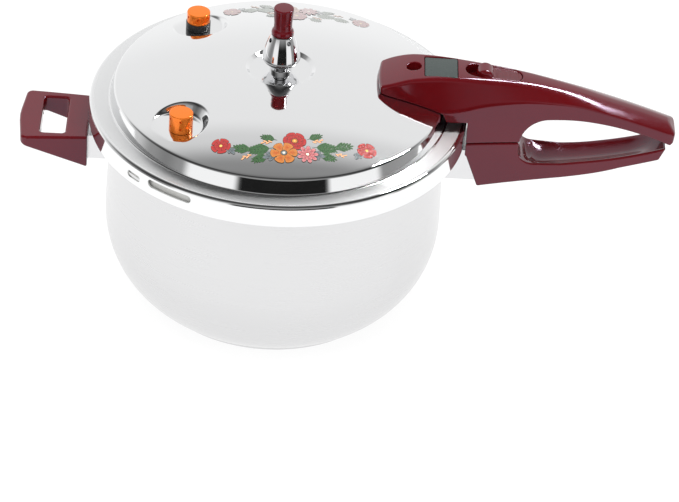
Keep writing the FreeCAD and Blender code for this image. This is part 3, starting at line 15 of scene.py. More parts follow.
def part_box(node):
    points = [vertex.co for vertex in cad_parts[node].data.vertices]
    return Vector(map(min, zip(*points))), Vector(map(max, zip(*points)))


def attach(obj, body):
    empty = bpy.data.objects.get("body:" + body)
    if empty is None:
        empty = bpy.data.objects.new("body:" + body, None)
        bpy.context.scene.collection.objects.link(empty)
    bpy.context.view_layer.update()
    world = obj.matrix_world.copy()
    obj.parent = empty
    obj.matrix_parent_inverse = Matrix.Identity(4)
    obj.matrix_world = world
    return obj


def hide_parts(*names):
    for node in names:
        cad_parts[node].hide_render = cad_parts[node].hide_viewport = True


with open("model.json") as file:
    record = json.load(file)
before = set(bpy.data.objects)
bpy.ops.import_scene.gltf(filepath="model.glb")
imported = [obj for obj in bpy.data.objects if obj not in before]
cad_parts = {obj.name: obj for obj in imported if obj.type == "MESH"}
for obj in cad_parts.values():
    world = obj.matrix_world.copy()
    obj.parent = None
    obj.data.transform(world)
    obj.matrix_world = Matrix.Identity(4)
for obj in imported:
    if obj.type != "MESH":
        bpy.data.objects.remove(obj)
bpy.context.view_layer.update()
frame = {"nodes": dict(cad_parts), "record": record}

MM = 0.001
SHARP = math.radians(42)
slot_of = {row["node"]: row["material_slot"] for row in frame["record"]["subparts"]}
body_of = {node: body for body, nodes in frame["record"]["behaviour"]["bodies"].items() for node in nodes}


def span(node):
    """Lowest and highest corner of a CAD node, in millimetres."""
    low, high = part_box(node)
    return np.array(low) / MM, np.array(high) / MM


# ---------------------------------------------------------------- sizes taken from the frame
pot_low, pot_high = span("pot_shell")
lid_low, lid_high = span("lid_shell")
cap_high = span("base_cap")[1]
LID_R = lid_high[0]
RIM_Z = pot_high[2]
BASE_H = pot_low[2]
POT_LUG_R = pot_high[0]
BASE_R = cap_high[0]
SKIRT_Z = lid_low[2]

# ---------------------------------------------------------------- sizes of the design
LID_T = 1.2
SKIRT_H = 14.5
BRIM_BEND = 2.5
STEP_FOOT_IN, STEP_H, STEP_DRAFT = 12.9, 10.0, 2.6
DOME_RISE = 16.0
RECESS_R, RECESS_DEPTH, RECESS_FLARE = 19.5, 2.9, 2.8
SEAT_R, SEAT_DEPTH, SEAT_FLARE = 16.0, 2.7, 0.55
FRONT_VALVE, REAR_VALVE = (20.5, -135.2), (23.9, 132.7)
FRONT_SEAT_SHIFT = (-2.2, 2.5)
CAP_R, COLLAR_R = 7.45, 7.9
FLOAT_INSET, FLOAT_SEAT_R, FLOAT_SEAT_DEPTH = 36.0, 7.0, 1.6
LUGS, LUG_ANGLE = 6, 26.0
RIM_T, LUG_W = 1.6, 5.6
WALL, BELLY_BULGE, BELLY_Z, BELLY_ARC_R = 1.2, 4.0, 58.0, 67.2
SPLIT_DROP, SPLIT_GAP = 11.5, 0.5

BRIM_Z = SKIRT_Z + SKIRT_H
FOOT_R = LID_R - STEP_FOOT_IN
SHOULDER_R = FOOT_R - STEP_DRAFT
SHOULDER_Z = BRIM_Z + STEP_H
DOME_R = (SHOULDER_R ** 2 + DOME_RISE ** 2) / (2 * DOME_RISE)
DOME_CENTRE_Z = SHOULDER_Z + DOME_RISE - DOME_R
RECESS_Z = SHOULDER_Z + DOME_RISE - RECESS_DEPTH
FLOAT_X = LID_R - FLOAT_INSET
RIM_R = POT_LUG_R - LUG_W
MOUTH_R = RIM_R - 8.0
BELLY_R = MOUTH_R + BELLY_BULGE


def dome_z(r, offset=0.0):
    return DOME_CENTRE_Z + np.sqrt((DOME_R + offset) ** 2 - np.square(r))


def polar(r, degrees):
    return r * math.cos(math.radians(degrees)), r * math.sin(math.radians(degrees))


VALVES = {side: polar(SHOULDER_R - inset, azimuth)
          for side, (inset, azimuth) in (("front", FRONT_VALVE), ("rear", REAR_VALVE))}
VALVE_FLOOR = {side: float(dome_z(math.hypot(*at))) - SEAT_DEPTH for side, at in VALVES.items()}
FRONT_SEAT = (VALVES["front"][0] + FRONT_SEAT_SHIFT[0], VALVES["front"][1] + FRONT_SEAT_SHIFT[1])
FLOAT_FLOOR = float(dome_z(FLOAT_X)) - FLOAT_SEAT_DEPTH
SEATS = ((FRONT_SEAT, VALVE_FLOOR["front"], SEAT_R), (VALVES["rear"], VALVE_FLOOR["rear"], SEAT_R),
         ((FLOAT_X, 0.0), FLOAT_FLOOR, FLOAT_SEAT_R))


# ---------------------------------------------------------------- mesh tools
def make_piece(name, points, faces, normals=None):
    """A mesh object from points in millimetres."""
    mesh = bpy.data.meshes.new(name)
    mesh.from_pydata((np.asarray(points, float) * MM).tolist(), [], faces)
    mesh.validate()
    piece = bpy.data.objects.new(name, mesh)
    bpy.context.scene.collection.objects.link(piece)
    mesh.shade_smooth()
    if normals is None:
        mesh.set_sharp_from_angle(angle=SHARP)
    else:
        mesh.normals_split_custom_set_from_vertices(normals.tolist())
    return piece


def rounded(corners, closed=True, step=9.0):
    """Points of an outline of (a, b) or (a, b, radius) corners, each rounded to its radius."""
    points = []
    count = len(corners)
    for i, corner in enumerate(corners):
        here = np.array(corner[:2], float)
        radius = corner[2] if len(corner) > 2 else 0.0
        if radius <= 0 or (not closed and i in (0, count - 1)):
            points.append(here)
            continue
        back = np.array(corners[i - 1][:2], float) - here
        ahead = np.array(corners[(i + 1) % count][:2], float) - here
        room = 0.49 * min(np.linalg.norm(back), np.linalg.norm(ahead))
        back /= np.linalg.norm(back)
        ahead /= np.linalg.norm(ahead)
        half = math.acos(float(np.clip(back @ ahead, -1, 1))) / 2
        if half > math.radians(89):
            points.append(here)
            continue
        reach = min(radius / math.tan(half), room)
        across = (back + ahead) / np.linalg.norm(back + ahead)
        centre = here + across * reach / math.cos(half)
        start, end = here + back * reach - centre, here + ahead * reach - centre
        turn = math.pi - 2 * half
        if start[0] * end[1] - start[1] * end[0] < 0:
            turn = -turn
        steps = max(2, math.ceil(abs(math.degrees(turn)) / step))
        for k in range(steps + 1):
            a = turn * k / steps
            points.append(centre + (start[0] * math.cos(a) - start[1] * math.sin(a),
                                    start[0] * math.sin(a) + start[1] * math.cos(a)))
    return np.array(points)


def arc_points(start, middle, end, count):
    """Points on the circle through three points, both ends included."""
    (ax, ay), (bx, by), (cx, cy) = start, middle, end
    d = 2 * (ax * (by - cy) + bx * (cy - ay) + cx * (ay - by))
    ux = ((ax**2 + ay**2) * (by - cy) + (bx**2 + by**2) * (cy - ay) + (cx**2 + cy**2) * (ay - by)) / d
    uy = ((ax**2 + ay**2) * (cx - bx) + (bx**2 + by**2) * (ax - cx) + (cx**2 + cy**2) * (bx - ax)) / d
    first, mid, last = (math.atan2(y - uy, x - ux) for x, y in (start, middle, end))
    sweep = (last - first) % (2 * math.pi)
    if (mid - first) % (2 * math.pi) > sweep:
        sweep -= 2 * math.pi
    radius = math.hypot(ax - ux, ay - uy)
    angles = first + sweep * np.linspace(0, 1, count)
    return [(ux + radius * math.cos(a), uy + radius * math.sin(a)) for a in angles]


def signed_area(outline):
    a, b = outline, np.roll(outline, -1, axis=0)
    return float(np.sum(a[:, 0] * b[:, 1] - b[:, 0] * a[:, 1])) / 2


def turned(outline, azimuths, full=True):
    """Points and faces of an outline of (r, z) turned through the azimuths, in degrees."""
    outline = np.asarray(outline, float)
    if signed_area(outline) < 0:
        outline = outline[::-1]
    angles = np.radians(azimuths)
    n, rows = len(angles), len(outline)
    r, z = outline[:, :1], outline[:, 1:]
    heights = np.repeat(z, n, axis=1)
    points = np.stack([r * np.cos(angles), r * np.sin(angles), heights], axis=-1).reshape(-1, 3)
    index = np.arange(rows * n).reshape(rows, n)
    on_axis = outline[:, 0] < 1e-6
    index[on_axis] = index[on_axis][:, :1]
    faces = []
    for i in range(rows):
        k = (i + 1) % rows
        if on_axis[i] and on_axis[k]:
            continue
        for j in range(n if full else n - 1):
            m = (j + 1) % n
            ring = [index[i, j], index[i, m], index[k, m], index[k, j]]
            faces.append([int(p) for p in dict.fromkeys(ring)])
    if not full:
        faces.append([int(p) for p in index[::-1, 0]][::-1])
        faces.append([int(p) for p in index[::-1, -1]])
    return points, faces


def lathe(name, outline, at=(0, 0), count=128):
    """A turned piece about the vertical axis at `at`."""
    points, faces = turned(outline, np.arange(count) * 360 / count)
    return make_piece(name, points + (at[0], at[1], 0), faces)


def join(name, parts):
    """One piece from several, which keep their own shading."""
    with bpy.context.temp_override(active_object=parts[0], object=parts[0], selected_objects=parts,
                                   selected_editable_objects=parts):
        bpy.ops.object.join()
    parts[0].name = parts[0].data.name = name
    return parts[0]


def fixed(piece):
    """The piece with its modifiers applied."""
    shape = piece.evaluated_get(bpy.context.evaluated_depsgraph_get())
    mesh = bpy.data.meshes.new_from_object(shape)
    piece.modifiers.clear()
    piece.data = mesh
    return piece


def drill(piece, cutters):
    """Cut the cutters out of the piece."""
    cutter = join("cutter", cutters) if len(cutters) > 1 else cutters[0]
    cut = piece.modifiers.new("cut", "BOOLEAN")
    cut.operation = "DIFFERENCE"
    cut.solver = "EXACT"
    cut.object = cutter
    fixed(piece)
    bpy.data.objects.remove(cutter)
    piece.data.set_sharp_from_angle(angle=SHARP)
    return piece


def plug(start, way, length, radius, stretch=(0, 0, 0), count=32):
    """A round cutter from start along way; stretch pulls it out into a slot."""
    way = Vector(way).normalized()
    side = Vector((0, 0, 1)).cross(way).normalized()
    up = way.cross(side)
    pull = Vector(stretch)
    rings = []
    for depth in (0.0, length):
        for k in range(count):
            a = 2 * math.pi * k / count
            shift = pull * (0.5 if math.cos(a) * side.dot(pull) >= 0 else -0.5)
            spoke = (side * math.cos(a) + up * math.sin(a)) * radius
            rings.append(Vector(start) + way * depth + spoke + shift)
    faces = [[k, (k + 1) % count, (k + 1) % count + count, k + count] for k in range(count)]
    faces += [list(range(count))[::-1], list(range(count, 2 * count))]
    return make_piece("plug", [tuple(p) for p in rings], faces)


# ---------------------------------------------------------------- implicit shapes
def meet(a, b, r):
    """Overlap of two fields, its edge rounded to radius r."""
    return np.minimum(-r, np.maximum(a, b)) + np.hypot(np.maximum(a + r, 0), np.maximum(b + r, 0))


def merge(a, b, r):
    """Union of two fields, its corner filled to radius r."""
    return np.maximum(r, np.minimum(a, b)) - np.hypot(np.maximum(r - a, 0), np.maximum(r - b, 0))


def less(a, b, r):
    """Field a with b taken away."""
    return meet(a, -b, r)


def flat_field(outline, pitch=0.4, margin=12.0):
    """Signed distance to a closed outline, as a function of two coordinates."""
    outline = np.asarray(outline, float)
    low, high = outline.min(0) - margin, outline.max(0) + margin
    a = np.arange(low[0], high[0] + pitch, pitch)
    b = np.arange(low[1], high[1] + pitch, pitch)
    grid_a, grid_b = np.meshgrid(a, b, indexing="ij")
    best = np.full(grid_a.shape, 1e9)
    inside = np.zeros(grid_a.shape, bool)
    for (pa, pb), (qa, qb) in zip(outline, np.roll(outline, -1, axis=0)):
        da, db = qa - pa, qb - pb
        t = np.clip(((grid_a - pa) * da + (grid_b - pb) * db) / max(da * da + db * db, 1e-12), 0, 1)
        best = np.minimum(best, np.hypot(grid_a - pa - t * da, grid_b - pb - t * db))
        if abs(db) > 1e-12:
            crosses = (pb > grid_b) != (qb > grid_b)
            inside ^= crosses & (grid_a < pa + (grid_b - pb) / db * da)
    table = np.where(inside, -best, best)

    def value(x, y):
        u = np.clip((x - low[0]) / pitch, 0, len(a) - 1.001)
        v = np.clip((y - low[1]) / pitch, 0, len(b) - 1.001)
        i, j = u.astype(int), v.astype(int)
        u, v = u - i, v - j
        return ((table[i, j] * (1 - u) + table[i + 1, j] * u) * (1 - v)
                + (table[i, j + 1] * (1 - u) + table[i + 1, j + 1] * u) * v)

    return value


def box_field(x, y, z, low, high, r=0.0):
    a = meet(np.maximum(low[0] - x, x - high[0]), np.maximum(low[1] - y, y - high[1]), r)
    return meet(a, np.maximum(low[2] - z, z - high[2]), r)


def carve(name, field, low, high, pitch):
    """The surface where a field of (x, y, z) is zero, with the field's own slope as its normals."""
    axes = [np.arange(low[i] - 2 * pitch, high[i] + 3 * pitch, pitch) for i in range(3)]
    grid = openvdb.FloatGrid(10.0)
    grid.copyFromArray(field(*np.meshgrid(*axes, indexing="ij")).astype(np.float32))
    points, quads = grid.convertToQuads(isovalue=0.0)
    points = np.asarray(points, float) * pitch + [a[0] for a in axes]
    reach = 0.15

    def slope(p):
        columns = []
        for i in range(3):
            step = np.zeros(3)
            step[i] = reach
            columns.append((field(*(p + step).T) - field(*(p - step).T)) / (2 * reach))
        return np.stack(columns, axis=-1)

    for _ in range(4):
        g = slope(points)
        move = (field(*points.T) / np.maximum((g * g).sum(1), 0.05))[:, None] * g
        length = np.linalg.norm(move, axis=1, keepdims=True)
        points -= move * np.minimum(1, 0.5 * pitch / np.maximum(length, 1e-9))
    normals = slope(points)
    normals /= np.maximum(np.linalg.norm(normals, axis=1, keepdims=True), 1e-9)
    faces = np.asarray(quads, int)
    a, b, c, d = (points[faces[:, k]] for k in range(4))
    facing = np.cross(c - a, d - b)
    if (facing * normals[faces[:, 0]]).sum() < 0:
        faces = faces[:, ::-1]
    return make_piece(name, points, faces.tolist(), normals)


def smooth_curve(xs, ys):
    """A smooth line through given points."""
    xs, ys = np.array(xs, float), np.array(ys, float)
    slopes = np.gradient(ys, xs)

    def value(x):
        x = np.clip(x, xs[0], xs[-1])
        i = np.clip(np.searchsorted(xs, x) - 1, 0, len(xs) - 2)
        h = xs[i + 1] - xs[i]
        t = (x - xs[i]) / h
        return ((2 * t**3 - 3 * t**2 + 1) * ys[i] + (t**3 - 2 * t**2 + t) * h * slopes[i]
                + (3 * t**2 - 2 * t**3) * ys[i + 1] + (t**3 - t**2) * h * slopes[i + 1])

    return value


def smooth_step(x, low, high):
    t = np.clip((x - low) / (high - low), 0, 1)
    return t * t * (3 - 2 * t)


# ---------------------------------------------------------------- lid
def soft_low(a, b, k):
    h = np.maximum(k - np.abs(a - b), 0) / k
    return np.minimum(a, b) - h * h * k / 4


def pressed_z(x, y, z, drop):
    """Height of the dome with its pressed seats; drop is how far the face lies under the outer one."""
    for (sx, sy), floor, radius in SEATS:
        wall = floor - drop + (np.hypot(x - sx, y - sy) - radius - 0.6 * drop) / SEAT_FLARE
        bowl = -soft_low(-wall, -(floor - drop + 0 * wall), 1.6)
        z = soft_low(z, bowl, 1.3)
    return z


def dome_rows(r_from, r_to, offset):
    """(r, z) along the dome, close together where the seats are."""
    fine_from, fine_to = 56.0, 102.0
    rows = np.concatenate([np.arange(r_from, fine_from, 2.0), np.arange(fine_from, fine_to, 0.45),
                           np.arange(fine_to, r_to, 1.5)])
    return [(r, float(dome_z(r, offset))) for r in rows]


def lid_face(offset):
    """Rows of the lid's outer face (offset 0) or inner face (LID_T), from its centre hole to its foot."""
    lip_r = RECESS_R + RECESS_FLARE - 0.3 * offset
    shoulder_r = SHOULDER_R - offset
    side_r = LID_R - offset
    rows = [(4.1, RECESS_Z - offset), (RECESS_R - 0.3 * offset, RECESS_Z - offset, 1.3),
            (lip_r, float(dome_z(lip_r, -offset)), 1.4)]
    rows += dome_rows(lip_r + 3.5, shoulder_r - 4.5, -offset)
    rows += [(shoulder_r, float(dome_z(shoulder_r, -offset)), 2.6 - offset),
             (FOOT_R - offset, BRIM_Z - offset, 1.4 + offset * 0.6),
             (side_r, BRIM_Z - offset, BRIM_BEND - offset)]
    return rows


def make_lid():
    outer = lid_face(0.0) + [(LID_R, SKIRT_Z, 0.5)]
    inner = lid_face(LID_T) + [(LID_R - LID_T, SKIRT_Z, 0.5)]
    outline = rounded(outer + inner[::-1], step=6.0)
    coarse, fine = 0.75, 0.25
    zones = ((0, 117, coarse), (117, 149, fine), (149, 208, coarse), (208, 242, fine), (242, 360, coarse))
    azimuths = np.concatenate([np.arange(*zone) for zone in zones])
    points, faces = turned(outline, azimuths)
    x, y, z = points.T
    r = np.hypot(x, y)
    on_dome = (r > RECESS_R + 5) & (r < SHOULDER_R - 3) & (z > SHOULDER_Z - LID_T - 0.5)
    drop = np.where(z < dome_z(np.minimum(r, SHOULDER_R)) - 0.5 * LID_T, LID_T, 0.0)
    points[:, 2] = np.where(on_dome, pressed_z(x, y, z, drop), z)
    lid = make_piece("lid_dome", points, faces)
    cutters = []
    for azimuth, width, high, low in ((-122.5, 15.4, 3.3, 8.8), (-136.4, 5.6, 6.0, 10.5)):
        radius = (low - high) / 2
        x, y = polar(LID_R - 5, azimuth)
        along = polar(math.radians(width) * LID_R - 2 * radius, azimuth + 90)
        cutters.append(plug((x, y, BRIM_Z - (low + high) / 2), (x, y, 0), 9, radius, stretch=(*along, 0)))
    for side, at in VALVES.items():
        cutters.append(plug((*at, VALVE_FLOOR[side] - 8), (1e-6, 0, 1), 12, 4.1))
    drill(lid, cutters)
    lug_z = SKIRT_Z
    lug_rows = rounded([(RIM_R + 1, lug_z, 0.4), (LID_R - 0.7, lug_z), (LID_R - 0.7, lug_z + 1.7),
                        (RIM_R + 1, lug_z + 1.7, 0.4)])
    parts = [lid]
    for i in range(LUGS):
        azimuths = 360 / LUGS * i + np.linspace(-LUG_ANGLE / 2, LUG_ANGLE / 2, 20)
        parts.append(make_piece("lug", *turned(lug_rows, azimuths, full=False)))
    return join("lid_dome", parts)


# ---------------------------------------------------------------- pot
def pot_face(inset):
    """Rows of the pot's wall, moved in by inset, from its lower edge up."""
    low_arc = BELLY_ARC_R - inset
    centre_r = BELLY_R - BELLY_ARC_R
    low_z = BASE_H + inset
    start = math.asin((low_z - BELLY_Z) / low_arc)
    rows = [(centre_r + low_arc * math.cos(a), BELLY_Z + low_arc * math.sin(a))
            for a in np.linspace(start, 0, 28)]
    top_z = RIM_Z - RIM_T
    rise = top_z - BELLY_Z
    bend = (rise**2 + BELLY_BULGE**2) / (2 * BELLY_BULGE)
    for z in np.linspace(BELLY_Z, top_z - 3, 26)[1:]:
        rows.append((BELLY_R - bend + math.sqrt(bend**2 - (z - BELLY_Z) ** 2) - inset, z))
    return rows


def make_pot():
    outside = pot_face(0.0)
    inside = pot_face(WALL)
    low_r, low_z = outside[0]
    in_r, in_z = inside[0]
    rows = [(0, low_z), (low_r, low_z, 2.0)] + outside[1:]
    rows += [(MOUTH_R, RIM_Z - RIM_T, 1.0), (RIM_R, RIM_Z - RIM_T, 0.7), (RIM_R, RIM_Z, 0.7),
             (MOUTH_R - WALL, RIM_Z, 1.6)]
    rows += inside[1:][::-1] + [(in_r, in_z, 2.0), (0, in_z)]
    wall = lathe("pot_wall", rounded(rows), count=240)
    lug_rows = rounded([(RIM_R - 2, RIM_Z - RIM_T), (POT_LUG_R, RIM_Z - RIM_T, 0.6), (POT_LUG_R, RIM_Z, 0.6),
                        (RIM_R - 2, RIM_Z)])
    parts = [wall]
    for i in range(LUGS):
        azimuths = 360 / LUGS * i + np.linspace(-LUG_ANGLE / 2, LUG_ANGLE / 2, 20)
        parts.append(make_piece("lug", *turned(lug_rows, azimuths, full=False)))
    return join("pot_wall", parts)


def make_base():
    rows = [(0, 0), (BASE_R - 6, 0.0), (BASE_R, 0, 2.6), (BASE_R, BASE_H, 0.5), (BASE_R - 0.8, BASE_H, 0.3),
            (BASE_R - 0.8, 0.8, 2.0), (0, 0.8)]
    return lathe("base_dish", rounded(rows), count=200)


# ---------------------------------------------------------------- pressure weight
WEIGHT_AZ = -60


def make_weight():
    low, high = span("weight_body")
    z, top = low[2], high[2] - 10.0
    rows = [(0, z + 17.8), (4.4, z + 17.8), (4.4, z), (8.4, z, 0.8)]
    rows += arc_points((9.4, z + 0.7), (11.4, z + 2.2), (12.0, z + 4.8), 8)
    rows += arc_points((12.0, z + 5.2), (10.35, z + 13.0), (7.4, top - 0.2), 36)
    rows += [(7.2, top, 0.3), (2.2, top), (2.2, top + 10.0, 0.4), (0, top + 10.0)]
    body = lathe("steam_weight", rounded(rows), count=180)
    hole_z = z - 5.4 + 20.8 + 4.6 - 1.6
    cutters = []
    for k in range(4):
        way = polar(1, WEIGHT_AZ + 90 * k)
        cutters.append(plug((way[0] * 5.5, way[1] * 5.5, hole_z), (*way, 0), 10, 1.4))
    return drill(body, cutters)


def make_knob():
    low, high = span("weight_knob")
    z, top = low[2], high[2]
    rows = [(0, z + 10.2), (2.3, z + 10.2), (2.3, z), (6.9, z, 0.5), (7.1, z + 1.4, 0.8), (6.7, z + 3.0, 1.0),
            (5.75, z + 4.4, 1.6), (5.7, z + 8.0, 4.0), (6.4, top, 0.9), (0, top + 0.0)]
    return lathe("weight_grip", rounded(rows), count=96)


def make_vent():
    low, high = span("vent_pipe")
    z, top = RECESS_Z, high[2]
    rows = [(1.5, low[2]), (4.0, low[2], 0.4), (4.0, z), (7.0, z), (7.0, z + 2.2, 0.6), (4.0, z + 2.2, 0.5),
            (4.0, top, 1.0), (1.5, top, 0.3)]
    return lathe("vent_stem", rounded(rows), count=72)


# ---------------------------------------------------------------- safety valves
def make_cap(side):
    low, high = span(side + "_valve_cap")
    at = VALVES[side]
    z, top = low[2], high[2]
    shelf = VALVE_FLOOR[side] + 2.8
    rows = [(0, top), (CAP_R, top, 0.8)] + [(CAP_R, level) for level in np.arange(top - 1.4, z + 1.0, -0.6)]
    rows += [(CAP_R, z, 0.35), (6.7, z), (6.7, shelf), (6.0, shelf), (6.0, top - 1.3), (0, top - 1.3)]
    cap = lathe(side + "_cap", rounded(rows), at, 180)
    levels = [top - 2.7] if side == "rear" else [top - 2.9, top - 8.3]
    cutters = []
    for level in levels:
        for k in range(6):
            way = polar(1, -150 + 60 * k)
            start = (at[0] + way[0] * 6.2, at[1] + way[1] * 6.2, level)
            cutters.append(plug(start, (*way, 0), 4, 0.85, count=20))
    return drill(cap, cutters)


def make_collar():
    low, high = span("rear_valve_collar")
    z, top = low[2], high[2]
    rows = [(COLLAR_R, z, 0.3), (COLLAR_R, top, 0.5), (6.7, top), (6.7, z)]
    return lathe("rear_collar", rounded(rows), VALVES["rear"], 96)


# ---------------------------------------------------------------- long handle
STATIONS = np.array([
    (-60.0, 17.4, 15.0, 15.6, 23.4), (-50.0, 18.6, 13.0, 17.2, 27.4), (-39.0, 19.7, 11.2, 16.6, 30.8),
    (-26.0, 20.7, 10.4, 15.0, 32.1), (-13.0, 21.4, 11.2, 13.1, 32.2), (-4.0, 20.8, 13.0, 12.2, 31.7),
    (8.0, 19.0, 16.0, 11.0, 30.8), (21.0, 17.2, 17.8, 9.5, 29.7), (38.0, 15.2, 18.8, 7.8, 27.6),
    (53.0, 13.8, 18.0, 6.7, 24.7), (70.0, 12.5, 16.0, 6.2, 20.5), (90.0, 12.2, 10.9, 6.1, 14.3),
    (111.0, 12.0, 4.4, 6.1, 7.9), (138.0, 11.4, -4.6, 5.9, -1.1)])
half_w, side_top, top_half, top_line = (smooth_curve(STATIONS[:, 0], STATIONS[:, k]) for k in range(1, 5))
PLATE_X, PLATE_HALF, PLATE_T = (-29.2, -8.6), 11.0, 1.4
SLOT_X, SLOT_HALF, SLOT_FLOOR = (-3.5, 33.0), 7.0, 25.0
SLIDER_X, SLIDER_HALF = (3.6, 32.6), 6.75
HOLE_R = 4.7
LOOP_X, TIP_X = 33.8, 133.0


def capsule(u, y, x0, x1, half):
    """Field of a slot with round ends along the handle."""
    return np.hypot(u - np.clip(u, x0 + half, x1 - half), y) - half


def make_upper_handle():
    low, high = span("upper_handle")
    side = [(-70, 60), (-70, -SPLIT_DROP), (LOOP_X, -SPLIT_DROP, 1.0)]
    side += arc_points((LOOP_X + 0.2, -SPLIT_DROP + 1.2), (38.6, -0.6), (50.3, 5.2), 14)[1:]
    side += arc_points((50.3, 5.2), (84.0, 3.4), (129.6, -10.1), 30)[1:]
    side += [(132.0, -8.5, 1.0), (TIP_X, -2.8, 2.0), (TIP_X - 5, 2.6, 2.0), (TIP_X - 5, 60)]
    side_field = flat_field(rounded(side))
    nose_half = float(half_w(-53.0))
    nose = rounded([(-56.4, -nose_half - 0.4, 6.0), (-57.6, -8, 20), (-58.0, 0, 60), (-57.6, 8, 20),
                    (-56.4, nose_half + 0.4, 6.0), (-40, nose_half + 6.0, 2), (-30, 30), (90, 30), (96, 14.0),
                    (TIP_X + 0.3, 12.9, 7.5), (TIP_X + 0.3, -12.9, 7.5), (96, -14.0), (90, -30),
                    (-30, -30), (-40, -nose_half - 6.0, 2)])
    nose_field = flat_field(nose)
    room_r = np.linspace(0, SHOULDER_R + 1, 40)
    room = [(-20.0, 60.0), (-20.0, DOME_CENTRE_Z + DOME_R)] + [(r, float(dome_z(r, 0.15))) for r in room_r]
    room += [(FOOT_R + 1.2, BRIM_Z + 4.0, 1.0), (LID_R + 1.2, BRIM_Z + 4.0, 0.6), (LID_R + 1.2, 60.0)]
    room_field = flat_field(rounded(room))
    plate_top = float(np.interp(PLATE_X[0], STATIONS[:, 0], STATIONS[:, 4]))

    def field(x, y, z):
        u, w, v = x - LID_R, z - BRIM_Z, np.abs(y)
        wide, edge, narrow, top = half_w(u), side_top(u), top_half(u), top_line(u)
        lean = np.hypot(top - edge, wide - narrow)
        slant = ((v - wide) * (top - edge) + (w - edge) * (wide - narrow)) / lean
        crown = w - top + 0.5 * (v / narrow) ** 2 - 0.25
        body = meet(meet(crown, slant, 2.2), v - wide, 0.9)
        body = meet(body, side_field(u, w), 1.0)
        body = meet(body, nose_field(u, y), 1.6)
        body = meet(body, -room_field(np.hypot(x, y), z), 0.7)
        hole = np.maximum(np.hypot(x - FLOAT_X, y) - HOLE_R, 8.0 - w)
        slot = np.maximum(capsule(u, y, *SLOT_X, SLOT_HALF), SLOT_FLOOR - w)
        plate = box_field(u, y, w, (PLATE_X[0] - 0.3, -PLATE_HALF - 0.3, plate_top - PLATE_T - 0.1),
                          (PLATE_X[1] + 0.3, PLATE_HALF + 0.3, 60.0), 0.3)
        pocket = np.maximum(np.maximum(np.abs(u - 16.75) - 13.25, v - 11.0), w - 12.0)
        foot = box_field(u, y, w, (-27.0, -9.6, -40.0), (-11.5, 9.6, 16.6))
        strap = box_field(u, y, w, (-12.0, -9.6, -8.0), (9.5, 9.6, 14.0))
        body = less(body, hole, 0.5)
        body = less(body, slot, 0.6)
        body = less(body, plate, 0.4)
        body = less(body, np.minimum(pocket, np.minimum(foot, strap)), 0.3)
        return body

    return carve("upper_grip", field, low, high, 0.62)


def make_lower_handle():
    low, high = span("lower_handle")
    top = -SPLIT_DROP - SPLIT_GAP
    side = [(-6, top), (LOOP_X, top, 2.6)]
    side += arc_points((LOOP_X + 0.3, top - 2.0), (LOOP_X + 2.3, -24.4), (LOOP_X + 9.4, -27.6), 12)[1:]
    side += arc_points((61.0, -27.6), (94.0, -22.1), (127.4, -12.4), 22)
    side += [(123.6, -21.4, 2.0)]
    side += arc_points((99.0, -29.0), (81.0, -34.6), (62.0, -38.2), 10)
    side += [(9.0, -44.4, 1.2), (0.4, -21.1, 1.0), (-6, -21.1)]
    side_field = flat_field(rounded(side))
    outline_top = smooth_curve([LOOP_X, 38.0, 43.2, 61.0, 78.0, 94.0, 112.0, 127.4],
                               [top, -24.0, -27.6, -27.6, -25.3, -22.1, -17.3, -12.4])
    socket_end = LID_R + 16.0

    def field(x, y, z):
        u, w, v = x - LID_R, z - BRIM_Z, np.abs(y)
        wide = half_w(np.maximum(u, -4.0))
        body = meet(side_field(u, w), v - wide, 1.1)
        body = meet(body, LID_R + 1.2 - np.hypot(x, y), 0.6)
        reach = wide - 2.0
        fade = smooth_step(u, LOOP_X, LOOP_X + 5.0) * smooth_step(-u, -126.0, -104.0)
        scoop = outline_top(u) - 3.2 * fade * (1 - (v / reach) ** 2) - w
        groove = np.maximum(np.maximum(scoop, v - reach), np.maximum(LOOP_X + 0.6 - u, u - 126.0))
        body = less(body, groove, 0.8)
        socket = box_field(x, y, z, (LID_R - 30, -13.1, BRIM_Z - 43.4), (socket_end, 13.1, BRIM_Z - 21.2))
        pin = np.maximum(np.hypot(u - 17.0, y) - 3.4, top - 6.4 - w)
        heads = np.maximum(np.hypot(u - 8.0, v - 6.5) - 3.8, top - 2.8 - w)
        return less(body, np.minimum(socket, np.minimum(pin, heads)), 0.35)

    return carve("lower_grip", field, low, high, 0.62)


def make_name_plate():
    low, high = span("name_plate")

    def field(x, y, z):
        middle, half = (low + high) / 2, (high - low) / 2
        crown = z - high[2] + 0.25 * ((y - middle[1]) / half[1]) ** 2
        sides = meet(np.abs(x - middle[0]) - half[0], np.abs(y - middle[1]) - half[1], 1.0)
        return meet(meet(sides, crown, 0.35), low[2] - z, 0.1)

    return carve("plate_cover", field, low, high, 0.35)


